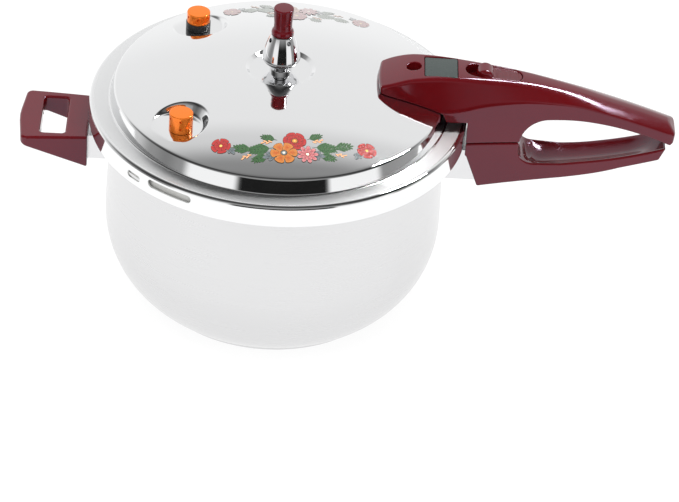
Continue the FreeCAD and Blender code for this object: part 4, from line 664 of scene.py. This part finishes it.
def make_slider():
    low, high = span("lock_slider")
    drop, bump_r = 0.35, 5.6
    bump_u = SLIDER_X[0] + bump_r - 0.3
    bump_w = float(top_line(SLIDER_X[0])) - 2.4
    rib_from, pitch = 15.5, 1.3

    def field(x, y, z):
        u, w = x - LID_R, z - BRIM_Z
        plan = capsule(u, y, *SLIDER_X, SLIDER_HALF)
        ribs = 0.2 * (1 - np.cos(2 * np.pi * (u - rib_from) / pitch))
        on_ribs = np.clip((u - rib_from) / 0.6, 0, 1) * np.clip((31.0 - u) / 0.6, 0, 1)
        on_ribs = on_ribs * np.clip((SLIDER_HALF - 1.2 - np.abs(y)) / 0.5, 0, 1)
        pad = w - (top_line(u) - drop - ribs * on_ribs)
        bump = np.hypot(u - bump_u, w - bump_w) - bump_r
        bump = meet(bump, np.abs(y) - SLIDER_HALF + 0.6, 2.2)
        return meet(meet(merge(pad, bump, 0.8), plan, 0.5), SLOT_FLOOR + 0.2 - w, 0.1)

    return carve("lock_thumb", field, (low[0], low[1], BRIM_Z + SLOT_FLOOR), high, 0.33)


# ---------------------------------------------------------------- helper handle
def make_helper():
    low, high = span("helper_handle")
    inner, outer, top = -high[0], -low[0], high[2]
    half_in, half_out = 24.8, 28.0
    plan = rounded([(-inner, -half_in, 1.0), (-inner, half_in, 1.0), (-outer + 3.0, half_out, 4.0),
                    (-outer, 0, 60.0), (-outer + 3.0, -half_out, 4.0)])
    plan_field = flat_field(plan)
    opening = rounded([(-inner - 30.5, -20.5, 2.6), (-inner - 30.5, 20.5, 2.6), (-inner - 14.5, 20.5, 2.6),
                       (-inner - 14.5, -20.5, 2.6)])
    opening_field = flat_field(opening)
    foot, tip = top - 23.0, top - 5.5
    fall = math.hypot(outer - inner, tip - foot)

    def field(x, y, z):
        under = ((foot - z) * (outer - inner) + (-x - inner) * (tip - foot)) / fall
        crown = z - top + 0.6 * np.clip((-x - inner - 4) / (outer - inner), 0, 1) ** 2
        body = meet(meet(crown, under, 1.2), plan_field(x, y), 1.6)
        body = less(body, opening_field(x, y), 1.5)
        socket = box_field(x, y, z, (-inner - 6.6, -18.1, top - 20.1), (-inner + 5, 18.1, top - 2.9))
        screws = np.maximum(np.hypot(np.abs(y) - 10.0, z - top + 10.0) - 3.9, x + inner + 11.5)
        return less(body, np.minimum(socket, screws), 0.35)

    return carve("helper_grip", field, low, high, 0.55)


# ---------------------------------------------------------------- printed flowers
RED, RED_DEEP = (0.46, 0.022, 0.018), (0.28, 0.008, 0.010)
ORANGE, ORANGE_DEEP = (0.55, 0.20, 0.030), (0.44, 0.08, 0.008)
PINK, PINK_DEEP = (0.60, 0.24, 0.24), (0.48, 0.07, 0.09)
GREEN, GREEN_DEEP = (0.045, 0.13, 0.04), (0.018, 0.07, 0.022)
GREY, GREY_DEEP = (0.16, 0.19, 0.20), (0.07, 0.09, 0.10)
PEACH = (0.85, 0.42, 0.20)
YELLOW = (0.85, 0.55, 0.12)
OUTLINE = (0.05, 0.03, 0.02)
CREAM = (0.85, 0.78, 0.62)
# light grey that fade mixes the print's colours towards: painted glare
PRINT_GLARE_GREY = 0.37
LAYER = 0.02


class Garland:
    """Flat printed shapes that follow the dome; each is a fan of rings about its own middle."""

    def __init__(self, azimuth, across=1.0, fade=0.0):
        """Laid out round a direction; `across` scales or mirrors it, `fade` lightens its colours towards a
        light grey, a painted glare that washes the print out.
        """
        self.turn = math.radians(azimuth)
        self.across, self.fade = across, fade
        self.points, self.faces, self.colours, self.level = [], [], [], 0

    def blob(self, at, outline, inner, outer, rings=4):
        """A shape from `outline` (angles -> offsets from `at`), shaded from its middle to its edge."""
        self.level += 1
        first = len(self.points)
        count = len(outline)
        for k in range(rings + 1):
            share = k / rings
            for dx, dy in (outline if k else [(0.0, 0.0)]):
                s, t = self.across * (at[0] + dx * share), at[1] + dy * share
                x = t * math.cos(self.turn) - s * math.sin(self.turn)
                y = t * math.sin(self.turn) + s * math.cos(self.turn)
                z = float(dome_z(math.hypot(x, y))) + LAYER + 0.0008 * self.level
                self.points.append((x, y, z))
                colour = [inner[i] + (outer[i] - inner[i]) * share for i in range(3)]
                # fade mixes each colour towards a light grey: painted glare over the print
                self.colours.append([c + (PRINT_GLARE_GREY - c) * self.fade for c in colour] + [1.0])
        for k in range(count):
            m = (k + 1) % count
            if self.across > 0:
                k, m = m, k
            self.faces.append((first, first + 1 + k, first + 1 + m))
            for ring in range(rings - 1):
                a = first + 1 + ring * count
                self.faces.append((a + m, a + k, a + count + k, a + count + m))

    def petal(self, at, length, width, heading, inner, outer, blunt=0.0, edge=0.22):
        """A petal or leaf that starts at `at` and points along heading, with a thin dark edge."""
        heading = math.radians(heading)
        middle = (at[0] + math.cos(heading) * length / 2, at[1] + math.sin(heading) * length / 2)
        layers = [(edge, OUTLINE, OUTLINE)] if edge > 0 else []
        for grow, low, high in layers + [(0.0, inner, outer)]:
            ring = []
            for k in range(28):
                a = 2 * math.pi * k / 28
                along = math.cos(a) * (length / 2 + grow)
                full = width / 2 * (1 + blunt * math.cos(a)) + grow
                across = math.sin(a) * full * (1.0 - 0.12 * (1 + math.cos(4 * a)) * (blunt > 0))
                ring.append((along * math.cos(heading) - across * math.sin(heading),
                             along * math.sin(heading) + across * math.cos(heading)))
            self.blob(middle, ring, low, high)

    def disc(self, at, radius, inner, outer, waves=0, depth=0.0):
        ring = []
        for k in range(36):
            a = 2 * math.pi * k / 36
            r = radius * (1 + depth * math.cos(waves * a))
            ring.append((r * math.cos(a), r * math.sin(a)))
        self.blob(at, ring, inner, outer, rings=3)

    def bloom(self, at, radius, petals, turned_by, inner, outer, width=1.0, blunt=0.35, heart=None, rows=1):
        """A round flower of petals about a heart."""
        for row in range(rows):
            reach = radius * (1 - 0.34 * row)
            for k in range(petals):
                heading = turned_by + 360 * (k + 0.5 * row) / petals
                base = (at[0] + 0.12 * reach * math.cos(math.radians(heading)),
                        at[1] + 0.12 * reach * math.sin(math.radians(heading)))
                full = width * 2 * math.pi * reach * 0.62 / petals
                self.petal(base, reach * 0.9, full, heading, inner, outer, blunt)
        for size, colour in heart or ():
            self.disc(at, radius * size, colour, colour, waves=9, depth=0.10)

    def fern(self, at, length, heading, colour, deep, pairs=4):
        """A feathery leaf: a stem with pairs of narrow leaflets that shrink towards its tip."""
        a = math.radians(heading)
        self.petal(at, length, 0.5, heading, deep, deep, edge=0)
        for k in range(pairs):
            share = 0.22 + 0.70 * k / pairs
            spot = (at[0] + math.cos(a) * length * share, at[1] + math.sin(a) * length * share)
            size = length * 0.46 * (1 - 0.5 * k / pairs)
            for side in (-1, 1):
                self.petal(spot, size, size * 0.30, heading + side * 36, deep, colour, edge=0.06)
        tip = (at[0] + math.cos(a) * length * 0.8, at[1] + math.sin(a) * length * 0.8)
        self.petal(tip, length * 0.28, length * 0.08, heading, deep, colour, edge=0.06)

    def leaf(self, at, length, heading, colour, deep):
        """A broad leaf of three lobes."""
        self.petal(at, length, length * 0.42, heading, deep, colour, edge=0.15)
        for side in (-38, 38):
            self.petal(at, length * 0.72, length * 0.34, heading + side, deep, colour, edge=0.15)

    def sprig(self, at, heading, colour):
        for k in range(4):
            turn = heading + (-26 if k % 2 else 26)
            a = math.radians(heading)
            spot = (at[0] + math.cos(a) * 1.5 * k, at[1] + math.sin(a) * 1.5 * k)
            self.petal(spot, 2.8, 1.0, turn, colour, colour, edge=0.1)

    def made(self, name):
        piece = make_piece(name, self.points, self.faces)
        layer = piece.data.color_attributes.new("print", "FLOAT_COLOR", "POINT")
        layer.data.foreach_set("color", np.array(self.colours, np.float32).ravel())
        return piece


def make_garland(name, azimuth, across, fade):
    """The printed spray: three flowers in the middle, ferns and sprigs each side, and two end flowers."""
    g = Garland(azimuth, across, fade)
    for side, ends in ((1, (46.0, 79.5)), (-1, (-44.0, 74.0))):
        out = 0 if side > 0 else 180
        g.fern((side * 11.5, 79.0), 16.0, out + side * 4, GREEN, GREEN_DEEP, 5)
        g.fern((side * 24.0, 79.5), 13.5, out - side * 12, GREEN, GREEN_DEEP, 4)
        g.fern((side * 9.0, 73.0), 10.5, out - side * 22, GREEN, GREEN_DEEP, 4)
        g.fern((side * 14.5, 84.5), 12.0, out + side * 20, GREEN, GREEN_DEEP, 4)
        g.leaf((side * 12.0, 85.0), 7.5, out + side * 12, GREY, GREY_DEEP)
        g.leaf((ends[0] - side * 5.0, ends[1] + 3.0), 5.5, out + side * 120, GREY, GREY_DEEP)
        g.sprig((side * 26.0, 84.0), out + side * 14, PEACH)
        g.sprig((side * 12.5, 74.5), out - side * 6, PEACH)
        g.bloom(ends, 5.9, 5, 15, RED_DEEP, RED, 1.25, 0.45, [(0.30, RED_DEEP), (0.16, YELLOW)], rows=2)
    g.bloom((1.5, 74.0), 7.0, 6, 10, RED_DEEP, RED, 1.3, 0.45,
            [(0.30, OUTLINE), (0.24, ORANGE), (0.1, YELLOW)], rows=2)
    g.bloom((8.5, 85.0), 6.6, 9, 0, PINK_DEEP, PINK, 1.0, 0.15, [(0.24, RED_DEEP), (0.16, CREAM)], rows=2)
    g.bloom((-6.0, 83.5), 8.2, 6, 0, ORANGE_DEEP, ORANGE, 1.2, 0.4,
            [(0.26, OUTLINE), (0.20, GREY), (0.1, CREAM)])
    return g.made(name)


# ---------------------------------------------------------------- materials
class Graph:
    """A node material built a node at a time."""

    def __init__(self, name, **values):
        self.material = bpy.data.materials.new(name)
        self.material.use_nodes = True
        self.tree = self.material.node_tree
        self.shader = self.tree.nodes["Principled BSDF"]
        for key, value in values.items():
            self.shader.inputs[key.replace("_", " ").title().replace("Ior", "IOR")].default_value = value
        self.place = self.node("ShaderNodeTexCoord").outputs["Object"]

    def node(self, kind, **settings):
        made = self.tree.nodes.new(kind)
        for key, value in settings.items():
            setattr(made, key, value)
        return made

    def join(self, source, target):
        self.tree.links.new(source, target)

    def math(self, operation, a, b=0.0):
        made = self.node("ShaderNodeMath", operation=operation)
        for socket, value in zip(made.inputs, (a, b)):
            if isinstance(value, (int, float)):
                socket.default_value = value
            else:
                self.join(value, socket)
        return made.outputs[0]

    def noise(self, scale, detail=3.0, place=None):
        made = self.node("ShaderNodeTexNoise")
        made.inputs["Scale"].default_value = scale
        made.inputs["Detail"].default_value = detail
        self.join(place or self.place, made.inputs["Vector"])
        return made.outputs["Fac"]

    def spread(self, value, low, high, from_low=0.3, from_high=0.7):
        made = self.node("ShaderNodeMapRange")
        made.inputs["From Min"].default_value = from_low
        made.inputs["From Max"].default_value = from_high
        made.inputs["To Min"].default_value = low
        made.inputs["To Max"].default_value = high
        self.join(value, made.inputs["Value"])
        return made.outputs["Result"]

    def blend(self, share, a, b):
        made = self.node("ShaderNodeMix", data_type="RGBA")
        made.inputs[6].default_value = (*a, 1)
        made.inputs[7].default_value = (*b, 1)
        self.join(share, made.inputs[0])
        return made.outputs[2]

    def ramp(self, source, stops):
        """Grey along a value, through (value, grey) stops."""
        low, high = stops[0][0], stops[-1][0]
        made = self.node("ShaderNodeValToRGB")
        made.color_ramp.interpolation = "EASE"
        ends = made.color_ramp.elements
        for end, (_, grey) in zip(ends, (stops[0], stops[-1])):
            end.color = (grey, grey, grey, 1)
        for value, grey in stops[1:-1]:
            ends.new((value - low) / (high - low)).color = (grey, grey, grey, 1)
        share = self.math("DIVIDE", self.math("SUBTRACT", source, float(low)), float(high - low))
        self.join(share, made.inputs[0])
        return made.outputs[0]

    def rough(self, value):
        self.join(value, self.shader.inputs["Roughness"])

    def colour(self, value):
        self.join(value, self.shader.inputs["Base Color"])

    def bump(self, height, depth, strength=1.0):
        made = self.node("ShaderNodeBump")
        made.inputs["Distance"].default_value = depth
        made.inputs["Strength"].default_value = strength
        self.join(height, made.inputs["Height"])
        self.join(made.outputs["Normal"], self.shader.inputs["Normal"])

    def radius_and_height(self):
        split = self.node("ShaderNodeSeparateXYZ")
        self.join(self.place, split.inputs[0])
        x, y, height = split.outputs
        squares = self.math("ADD", self.math("MULTIPLY", x, x), self.math("MULTIPLY", y, y))
        return self.math("SQRT", squares), height

    def about_axis(self, centre=(0.0, 0.0), around=1.0, along=1.0, outward=1.0):
        """Coordinates (angle, radius, height) about a vertical axis, for marks round a turned piece."""
        split = self.node("ShaderNodeSeparateXYZ")
        self.join(self.place, split.inputs[0])
        x = self.math("SUBTRACT", split.outputs[0], centre[0])
        y = self.math("SUBTRACT", split.outputs[1], centre[1])
        angle = self.math("MULTIPLY", self.math("ARCTAN2", y, x), around)
        radius = self.math("SQRT", self.math("ADD", self.math("MULTIPLY", x, x), self.math("MULTIPLY", y, y)))
        made = self.node("ShaderNodeCombineXYZ")
        self.join(angle, made.inputs[0])
        self.join(self.math("MULTIPLY", radius, outward), made.inputs[1])
        self.join(self.math("MULTIPLY", split.outputs[2], along), made.inputs[2])
        return made.outputs[0]


def brushed_steel(name, colour, roughness, lines, depth, anisotropic=0.0, centre=(0.0, 0.0)):
    """Stainless steel with fine marks that run round the axis."""
    g = Graph(name, base_color=(*colour, 1), metallic=1.0, anisotropic=anisotropic)
    rings = g.noise(1.0, 4.0, g.about_axis(centre, 0.7, lines, lines))
    cloud = g.noise(26.0, 4.0)
    g.rough(g.math("ADD", g.spread(rings, roughness * 0.82, roughness * 1.18),
                   g.spread(cloud, -0.1 * roughness, 0.1 * roughness)))
    g.bump(rings, depth, 0.6)
    if anisotropic:
        tangent = g.node("ShaderNodeTangent", direction_type="RADIAL", axis="Z")
        g.join(tangent.outputs[0], g.shader.inputs["Tangent"])
    return g.material


def mirror_steel(name):
    """Mirror-polished steel: faint haze, wipe marks and hairlines; the lid's flat brim is satin."""
    g = Graph(name, base_color=(0.88, 0.885, 0.89, 1), metallic=1.0)
    haze = g.noise(18.0, 5.0)
    hair = g.noise(1.0, 3.0, g.about_axis((0, 0), 3.0, 1500.0, 1500.0))
    across, height = g.radius_and_height()
    brim = g.math("MULTIPLY", g.spread(across, 0.0, 1.0, (FOOT_R + 0.3) * MM, (FOOT_R + 1.2) * MM),
                  g.spread(across, 1.0, 0.0, (LID_R - 2.9) * MM, (LID_R - 2.1) * MM))
    brim = g.math("MULTIPLY", brim, g.spread(height, 1.0, 0.0, (BRIM_Z + 0.2) * MM, (BRIM_Z + 0.9) * MM))
    polish = g.math("ADD", g.spread(haze, 0.03, 0.06), g.spread(hair, 0.0, 0.02, 0.55, 0.8))
    g.rough(g.math("ADD", polish, g.math("MULTIPLY", brim, 0.34)))
    g.bump(g.noise(9.0, 2.0), 0.00006, 0.35)
    return g.material


def moulded(name, colour, deep, roughness=0.16, coat=0.5, scale=900.0, depth=0.000006, tint=(1, 1, 1)):
    """Glossy moulded plastic with a slight orange-peel skin and faint colour drift."""
    g = Graph(name, specular_ior_level=0.5, specular_tint=(*tint, 1), coat_weight=coat, coat_roughness=0.06)
    g.colour(g.blend(g.spread(g.noise(30.0, 4.0), 0.0, 1.0), deep, colour))
    g.rough(g.spread(g.noise(220.0, 4.0), roughness * 0.8, roughness * 1.3))
    g.bump(g.noise(scale, 2.0), depth, 0.4)
    return g.material


def anodised(name, colour, deep, roughness, centre):
    """Coloured anodised aluminium with turning marks."""
    g = Graph(name, metallic=0.6)
    marks = g.noise(1.0, 3.0, g.about_axis(centre, 1.2, 5200.0, 5200.0))
    g.colour(g.blend(g.spread(marks, 0.0, 1.0), deep, colour))
    g.rough(g.spread(marks, roughness * 0.75, roughness * 1.3))
    g.bump(marks, 0.0000012, 0.4)
    return g.material


def rubber(name, colour):
    g = Graph(name, specular_ior_level=0.35)
    g.colour(g.blend(g.spread(g.noise(60.0, 4.0), 0.0, 1.0), tuple(c * 0.85 for c in colour), colour))
    g.rough(g.spread(g.noise(400.0, 4.0), 0.5, 0.68))
    g.bump(g.noise(1600.0, 3.0), 0.00003, 0.4)
    return g.material


def printed(name):
    """Ceramic print fired onto the lid: its colour is stored at the points of each shape."""
    g = Graph(name, specular_ior_level=0.5, coat_weight=0.6, coat_roughness=0.08)
    colour = g.node("ShaderNodeVertexColor", layer_name="print").outputs["Color"]
    grain = g.node("ShaderNodeMix", data_type="RGBA", blend_type="MULTIPLY")
    grain.inputs[0].default_value = 1.0
    g.join(colour, grain.inputs[6])
    specks = g.spread(g.noise(700.0, 3.0), 0.0, 1.0)
    g.join(g.blend(specks, (0.82, 0.82, 0.82), (1.0, 1.0, 1.0)), grain.inputs[7])
    g.colour(grain.outputs[2])
    g.rough(g.spread(g.noise(500.0, 3.0), 0.22, 0.34))
    return g.material


ORANGE_CAP, ORANGE_CAP_DEEP = (0.90, 0.215, 0.025), (0.86, 0.195, 0.02)
BURGUNDY, BURGUNDY_DEEP = (0.092, 0.0022, 0.0034), (0.080, 0.002, 0.0030)
front_centre = tuple(c * MM for c in VALVES["front"])
rear_centre = tuple(c * MM for c in VALVES["rear"])
MATERIALS = {
    "satin_steel": brushed_steel("satin_steel", (0.71, 0.71, 0.715), 0.24, 2600.0, 0.0000016, 0.5),
    "mirror_steel": mirror_steel("mirror_steel"),
    "base_aluminium": brushed_steel("base_aluminium", (0.78, 0.78, 0.79), 0.34, 1800.0, 0.000002),
    "bracket_steel": brushed_steel("bracket_steel", (0.74, 0.74, 0.75), 0.2, 1400.0, 0.0000016),
    # the purple tint on its reflections is a painted lavender sheen
    "burgundy_plastic": moulded("burgundy_plastic", BURGUNDY, BURGUNDY_DEEP, 0.14, 0.25,
                                tint=(0.84, 0.72, 0.98)),
    "name_plate_grey": moulded("name_plate_grey", (0.030, 0.042, 0.039), (0.022, 0.032, 0.030), 0.25, 0.1),
    "screw_steel": brushed_steel("screw_steel", (0.62, 0.62, 0.64), 0.3, 2400.0, 0.000002),
    "seal_rubber": rubber("seal_rubber", (0.55, 0.55, 0.53)),
    "chrome_fittings": brushed_steel("chrome_fittings", (0.84, 0.84, 0.85), 0.05, 3000.0, 0.0000003),
    "brass_inner": brushed_steel("brass_inner", (0.78, 0.57, 0.27), 0.22, 2400.0, 0.0000016),
    "orange_aluminium": anodised("orange_aluminium", ORANGE_CAP, ORANGE_CAP_DEEP, 0.16, front_centre),
    "black_plastic": moulded("black_plastic", (0.012, 0.012, 0.013), (0.018, 0.018, 0.019), 0.36, 0.1),
    "spring_steel": brushed_steel("spring_steel", (0.6, 0.6, 0.61), 0.25, 3000.0, 0.000001),
    "float_red": rubber("float_red", (0.45, 0.02, 0.02)),
}
PRINT = printed("ceramic_print")
REAR_ORANGE = anodised("orange_aluminium_rear", ORANGE_CAP, ORANGE_CAP_DEEP, 0.16, rear_centre)


# ---------------------------------------------------------------- camera, light and floor
def make_camera():
    data = bpy.data.cameras.new("camera")
    data.sensor_width = 36.0
    data.lens = 193.66
    camera = bpy.data.objects.new("camera", data)
    bpy.context.scene.collection.objects.link(camera)
    right = Vector((0.99817175, 0.01768784, 0.05779534))
    up = Vector((-0.05739391, 0.57718141, 0.81459656))
    back = right.cross(up)
    turn = Matrix((right, up, back)).transposed().to_4x4()
    camera.matrix_world = Matrix.Translation((0.0, -1.947466, 1.402632)) @ turn
    bpy.context.scene.camera = camera


def soft_light(name, place, aim, size, power):
    """A rectangular light that doesn't show up in polished metal."""
    data = bpy.data.lights.new(name, "AREA")
    data.shape = "RECTANGLE"
    data.size, data.size_y = size
    data.energy = power
    light = bpy.data.objects.new(name, data)
    bpy.context.scene.collection.objects.link(light)
    light.location = place
    light.rotation_euler = (Vector(aim) - Vector(place)).to_track_quat("-Z", "Y").to_euler()
    light.visible_glossy = False
    return light


FLOOR_GLOW = 0.87


def make_floor():
    half, count = 3.0, 24
    steps = np.linspace(-half, half, count + 1)
    points = [(x / MM, y / MM, 0.0) for y in steps for x in steps]
    row = count + 1
    faces = [[j * row + i, j * row + i + 1, (j + 1) * row + i + 1, (j + 1) * row + i]
             for j in range(count) for i in range(count)]
    floor = make_piece("floor", points, faces)
    g = Graph("floor_paper", specular_ior_level=0.1, emission_strength=FLOOR_GLOW)
    g.shader.inputs["Emission Color"].default_value = (1.0, 1.0, 1.0, 1)
    g.colour(g.blend(g.spread(g.noise(3.0, 4.0), 0.0, 1.0), (0.15, 0.15, 0.15), (0.16, 0.16, 0.16)))
    g.rough(g.spread(g.noise(60.0, 4.0), 0.75, 0.9))
    floor.data.materials.append(g.material)


def make_world():
    """An even white surround."""
    world = bpy.data.worlds.new("studio")
    bpy.context.scene.world = world
    world.use_nodes = True
    background = world.node_tree.nodes["Background"]
    background.inputs["Color"].default_value = (1.0, 1.0, 1.0, 1)
    background.inputs["Strength"].default_value = 1.0


TENT_R, TENT_T = 660.0, 2.0
# brightness round the object, in degrees from the camera's side: negative to the left, positive to the right
RING = ((-180, 1.0), (-112, 0.98), (-94, 0.6), (-80, 0.3), (-68, 0.22), (-57, 0.30), (-50, 1.0), (-24, 1.0),
        (-19, 0.012), (30, 0.012), (34, 1.0), (62, 1.0), (68, 0.30), (92, 0.35), (112, 0.9), (180, 1.0))
# brightness overhead, from the camera's side (-1) to the far side (1)
OVERHEAD = ((-1, 0.45), (-0.75, 0.34), (-0.5, 0.12), (-0.25, 0.03), (0.04, 0.1),
            (0.2, 0.28), (0.33, 0.70), (0.44, 0.87), (0.7, 0.89), (1.0, 0.92))
# share of the overhead pattern against the height's sine
SHARE = ((-1, 0.0), (0.30, 0.0), (0.62, 1.0), (1, 1.0))


def make_tent():
    """A tent of light and dark areas that only reflections see; it lights nothing else."""
    inside = [polar(TENT_R, a) for a in np.linspace(0, 90, 31)]
    inside[-1] = (0.0, TENT_R)
    outside = [(0.0, TENT_R + TENT_T)] + [polar(TENT_R + TENT_T, a) for a in np.linspace(88, 0, 30)]
    points, faces = turned(np.array(inside + outside), np.arange(120) * 3.0)
    tent = make_piece("tent", points, faces)
    for ray in ("camera", "diffuse", "shadow", "transmission", "volume_scatter"):
        setattr(tent, "visible_" + ray, False)
    g = Graph("tent_light")
    g.tree.nodes.clear()
    g.place = g.node("ShaderNodeTexCoord").outputs["Object"]
    split = g.node("ShaderNodeSeparateXYZ")
    g.join(g.place, split.inputs[0])
    x, y, z = (g.math("DIVIDE", out, TENT_R * MM) for out in split.outputs)
    around = g.math("MULTIPLY", g.math("ARCTAN2", x, g.math("MULTIPLY", y, -1.0)), 180 / math.pi)
    mix = g.node("ShaderNodeMix", data_type="RGBA")
    g.join(g.ramp(z, SHARE), mix.inputs[0])
    g.join(g.ramp(around, RING), mix.inputs[6])
    g.join(g.ramp(y, OVERHEAD), mix.inputs[7])
    glow = g.node("ShaderNodeEmission")
    g.join(mix.outputs[2], glow.inputs["Color"])
    g.join(glow.outputs[0], g.node("ShaderNodeOutputMaterial").inputs["Surface"])
    tent.data.materials.append(g.material)


def make_lights():
    middle = (0, 0, 0.1)
    soft_light("top_box", (0.0, 0.1, 1.9), middle, (2.4, 2.0), 30)
    soft_light("left_box", (-1.5, -1.2, 1.0), middle, (1.0, 1.3), 10)
    soft_light("right_box", (1.5, -1.3, 0.9), middle, (0.8, 1.2), 8)
    strip = soft_light("handle_strip", (0.30, 0.10, 0.49), (0.30, 0.0, 0.13), (0.22, 0.05), 2.4)
    strip.visible_glossy, strip.visible_diffuse = True, False


# ---------------------------------------------------------------- assembly
def place(piece, *nodes, material=None, slot=None):
    """Rides the piece on its CAD node's body, in that node's slot and finish, in place of the nodes."""
    name = slot or slot_of[nodes[0]]
    piece.data.materials.clear()
    piece.data.materials.append(material or MATERIALS[name])
    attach(piece, body_of[nodes[0]])
    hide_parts(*nodes)
    return piece


bpy.context.scene.view_settings.view_transform = "Standard"
make_camera()
make_floor()
make_world()
make_tent()
make_lights()

place(make_lid(), "lid_shell")
place(make_pot(), "pot_shell")
place(make_base(), "base_cap")
place(make_weight(), "weight_body")
place(make_knob(), "weight_knob")
place(make_vent(), "vent_pipe")
place(make_cap("front"), "front_valve_cap")
place(make_cap("rear"), "rear_valve_cap", material=REAR_ORANGE)
place(make_collar(), "rear_valve_collar")
place(make_upper_handle(), "upper_handle")
place(make_lower_handle(), "lower_handle")
place(make_name_plate(), "name_plate")
place(make_slider(), "lock_slider")
place(make_helper(), "helper_handle")

# name, direction in degrees, width (mirrored where negative) and fade, a painted glare that pales the rear
# spray
GARLANDS = (("front_flowers", -82.5, 1.0, 0.0), ("rear_flowers", 84.5, -0.93, 0.72))
for name, azimuth, across, fade in GARLANDS:
    flowers = make_garland(name, azimuth, across, fade)
    flowers.data.materials.append(PRINT)
    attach(flowers, "lid")

EDGE_WIDTH = 0.25
for node, part in frame["nodes"].items():
    if part.hide_render:
        continue
    part.data.materials.clear()
    part.data.materials.append(MATERIALS[slot_of[node]])
    edges = part.modifiers.new("edges", "BEVEL")
    edges.width = EDGE_WIDTH * MM
    edges.segments = 2
    edges.limit_method = "ANGLE"
    edges.angle_limit = math.radians(35)
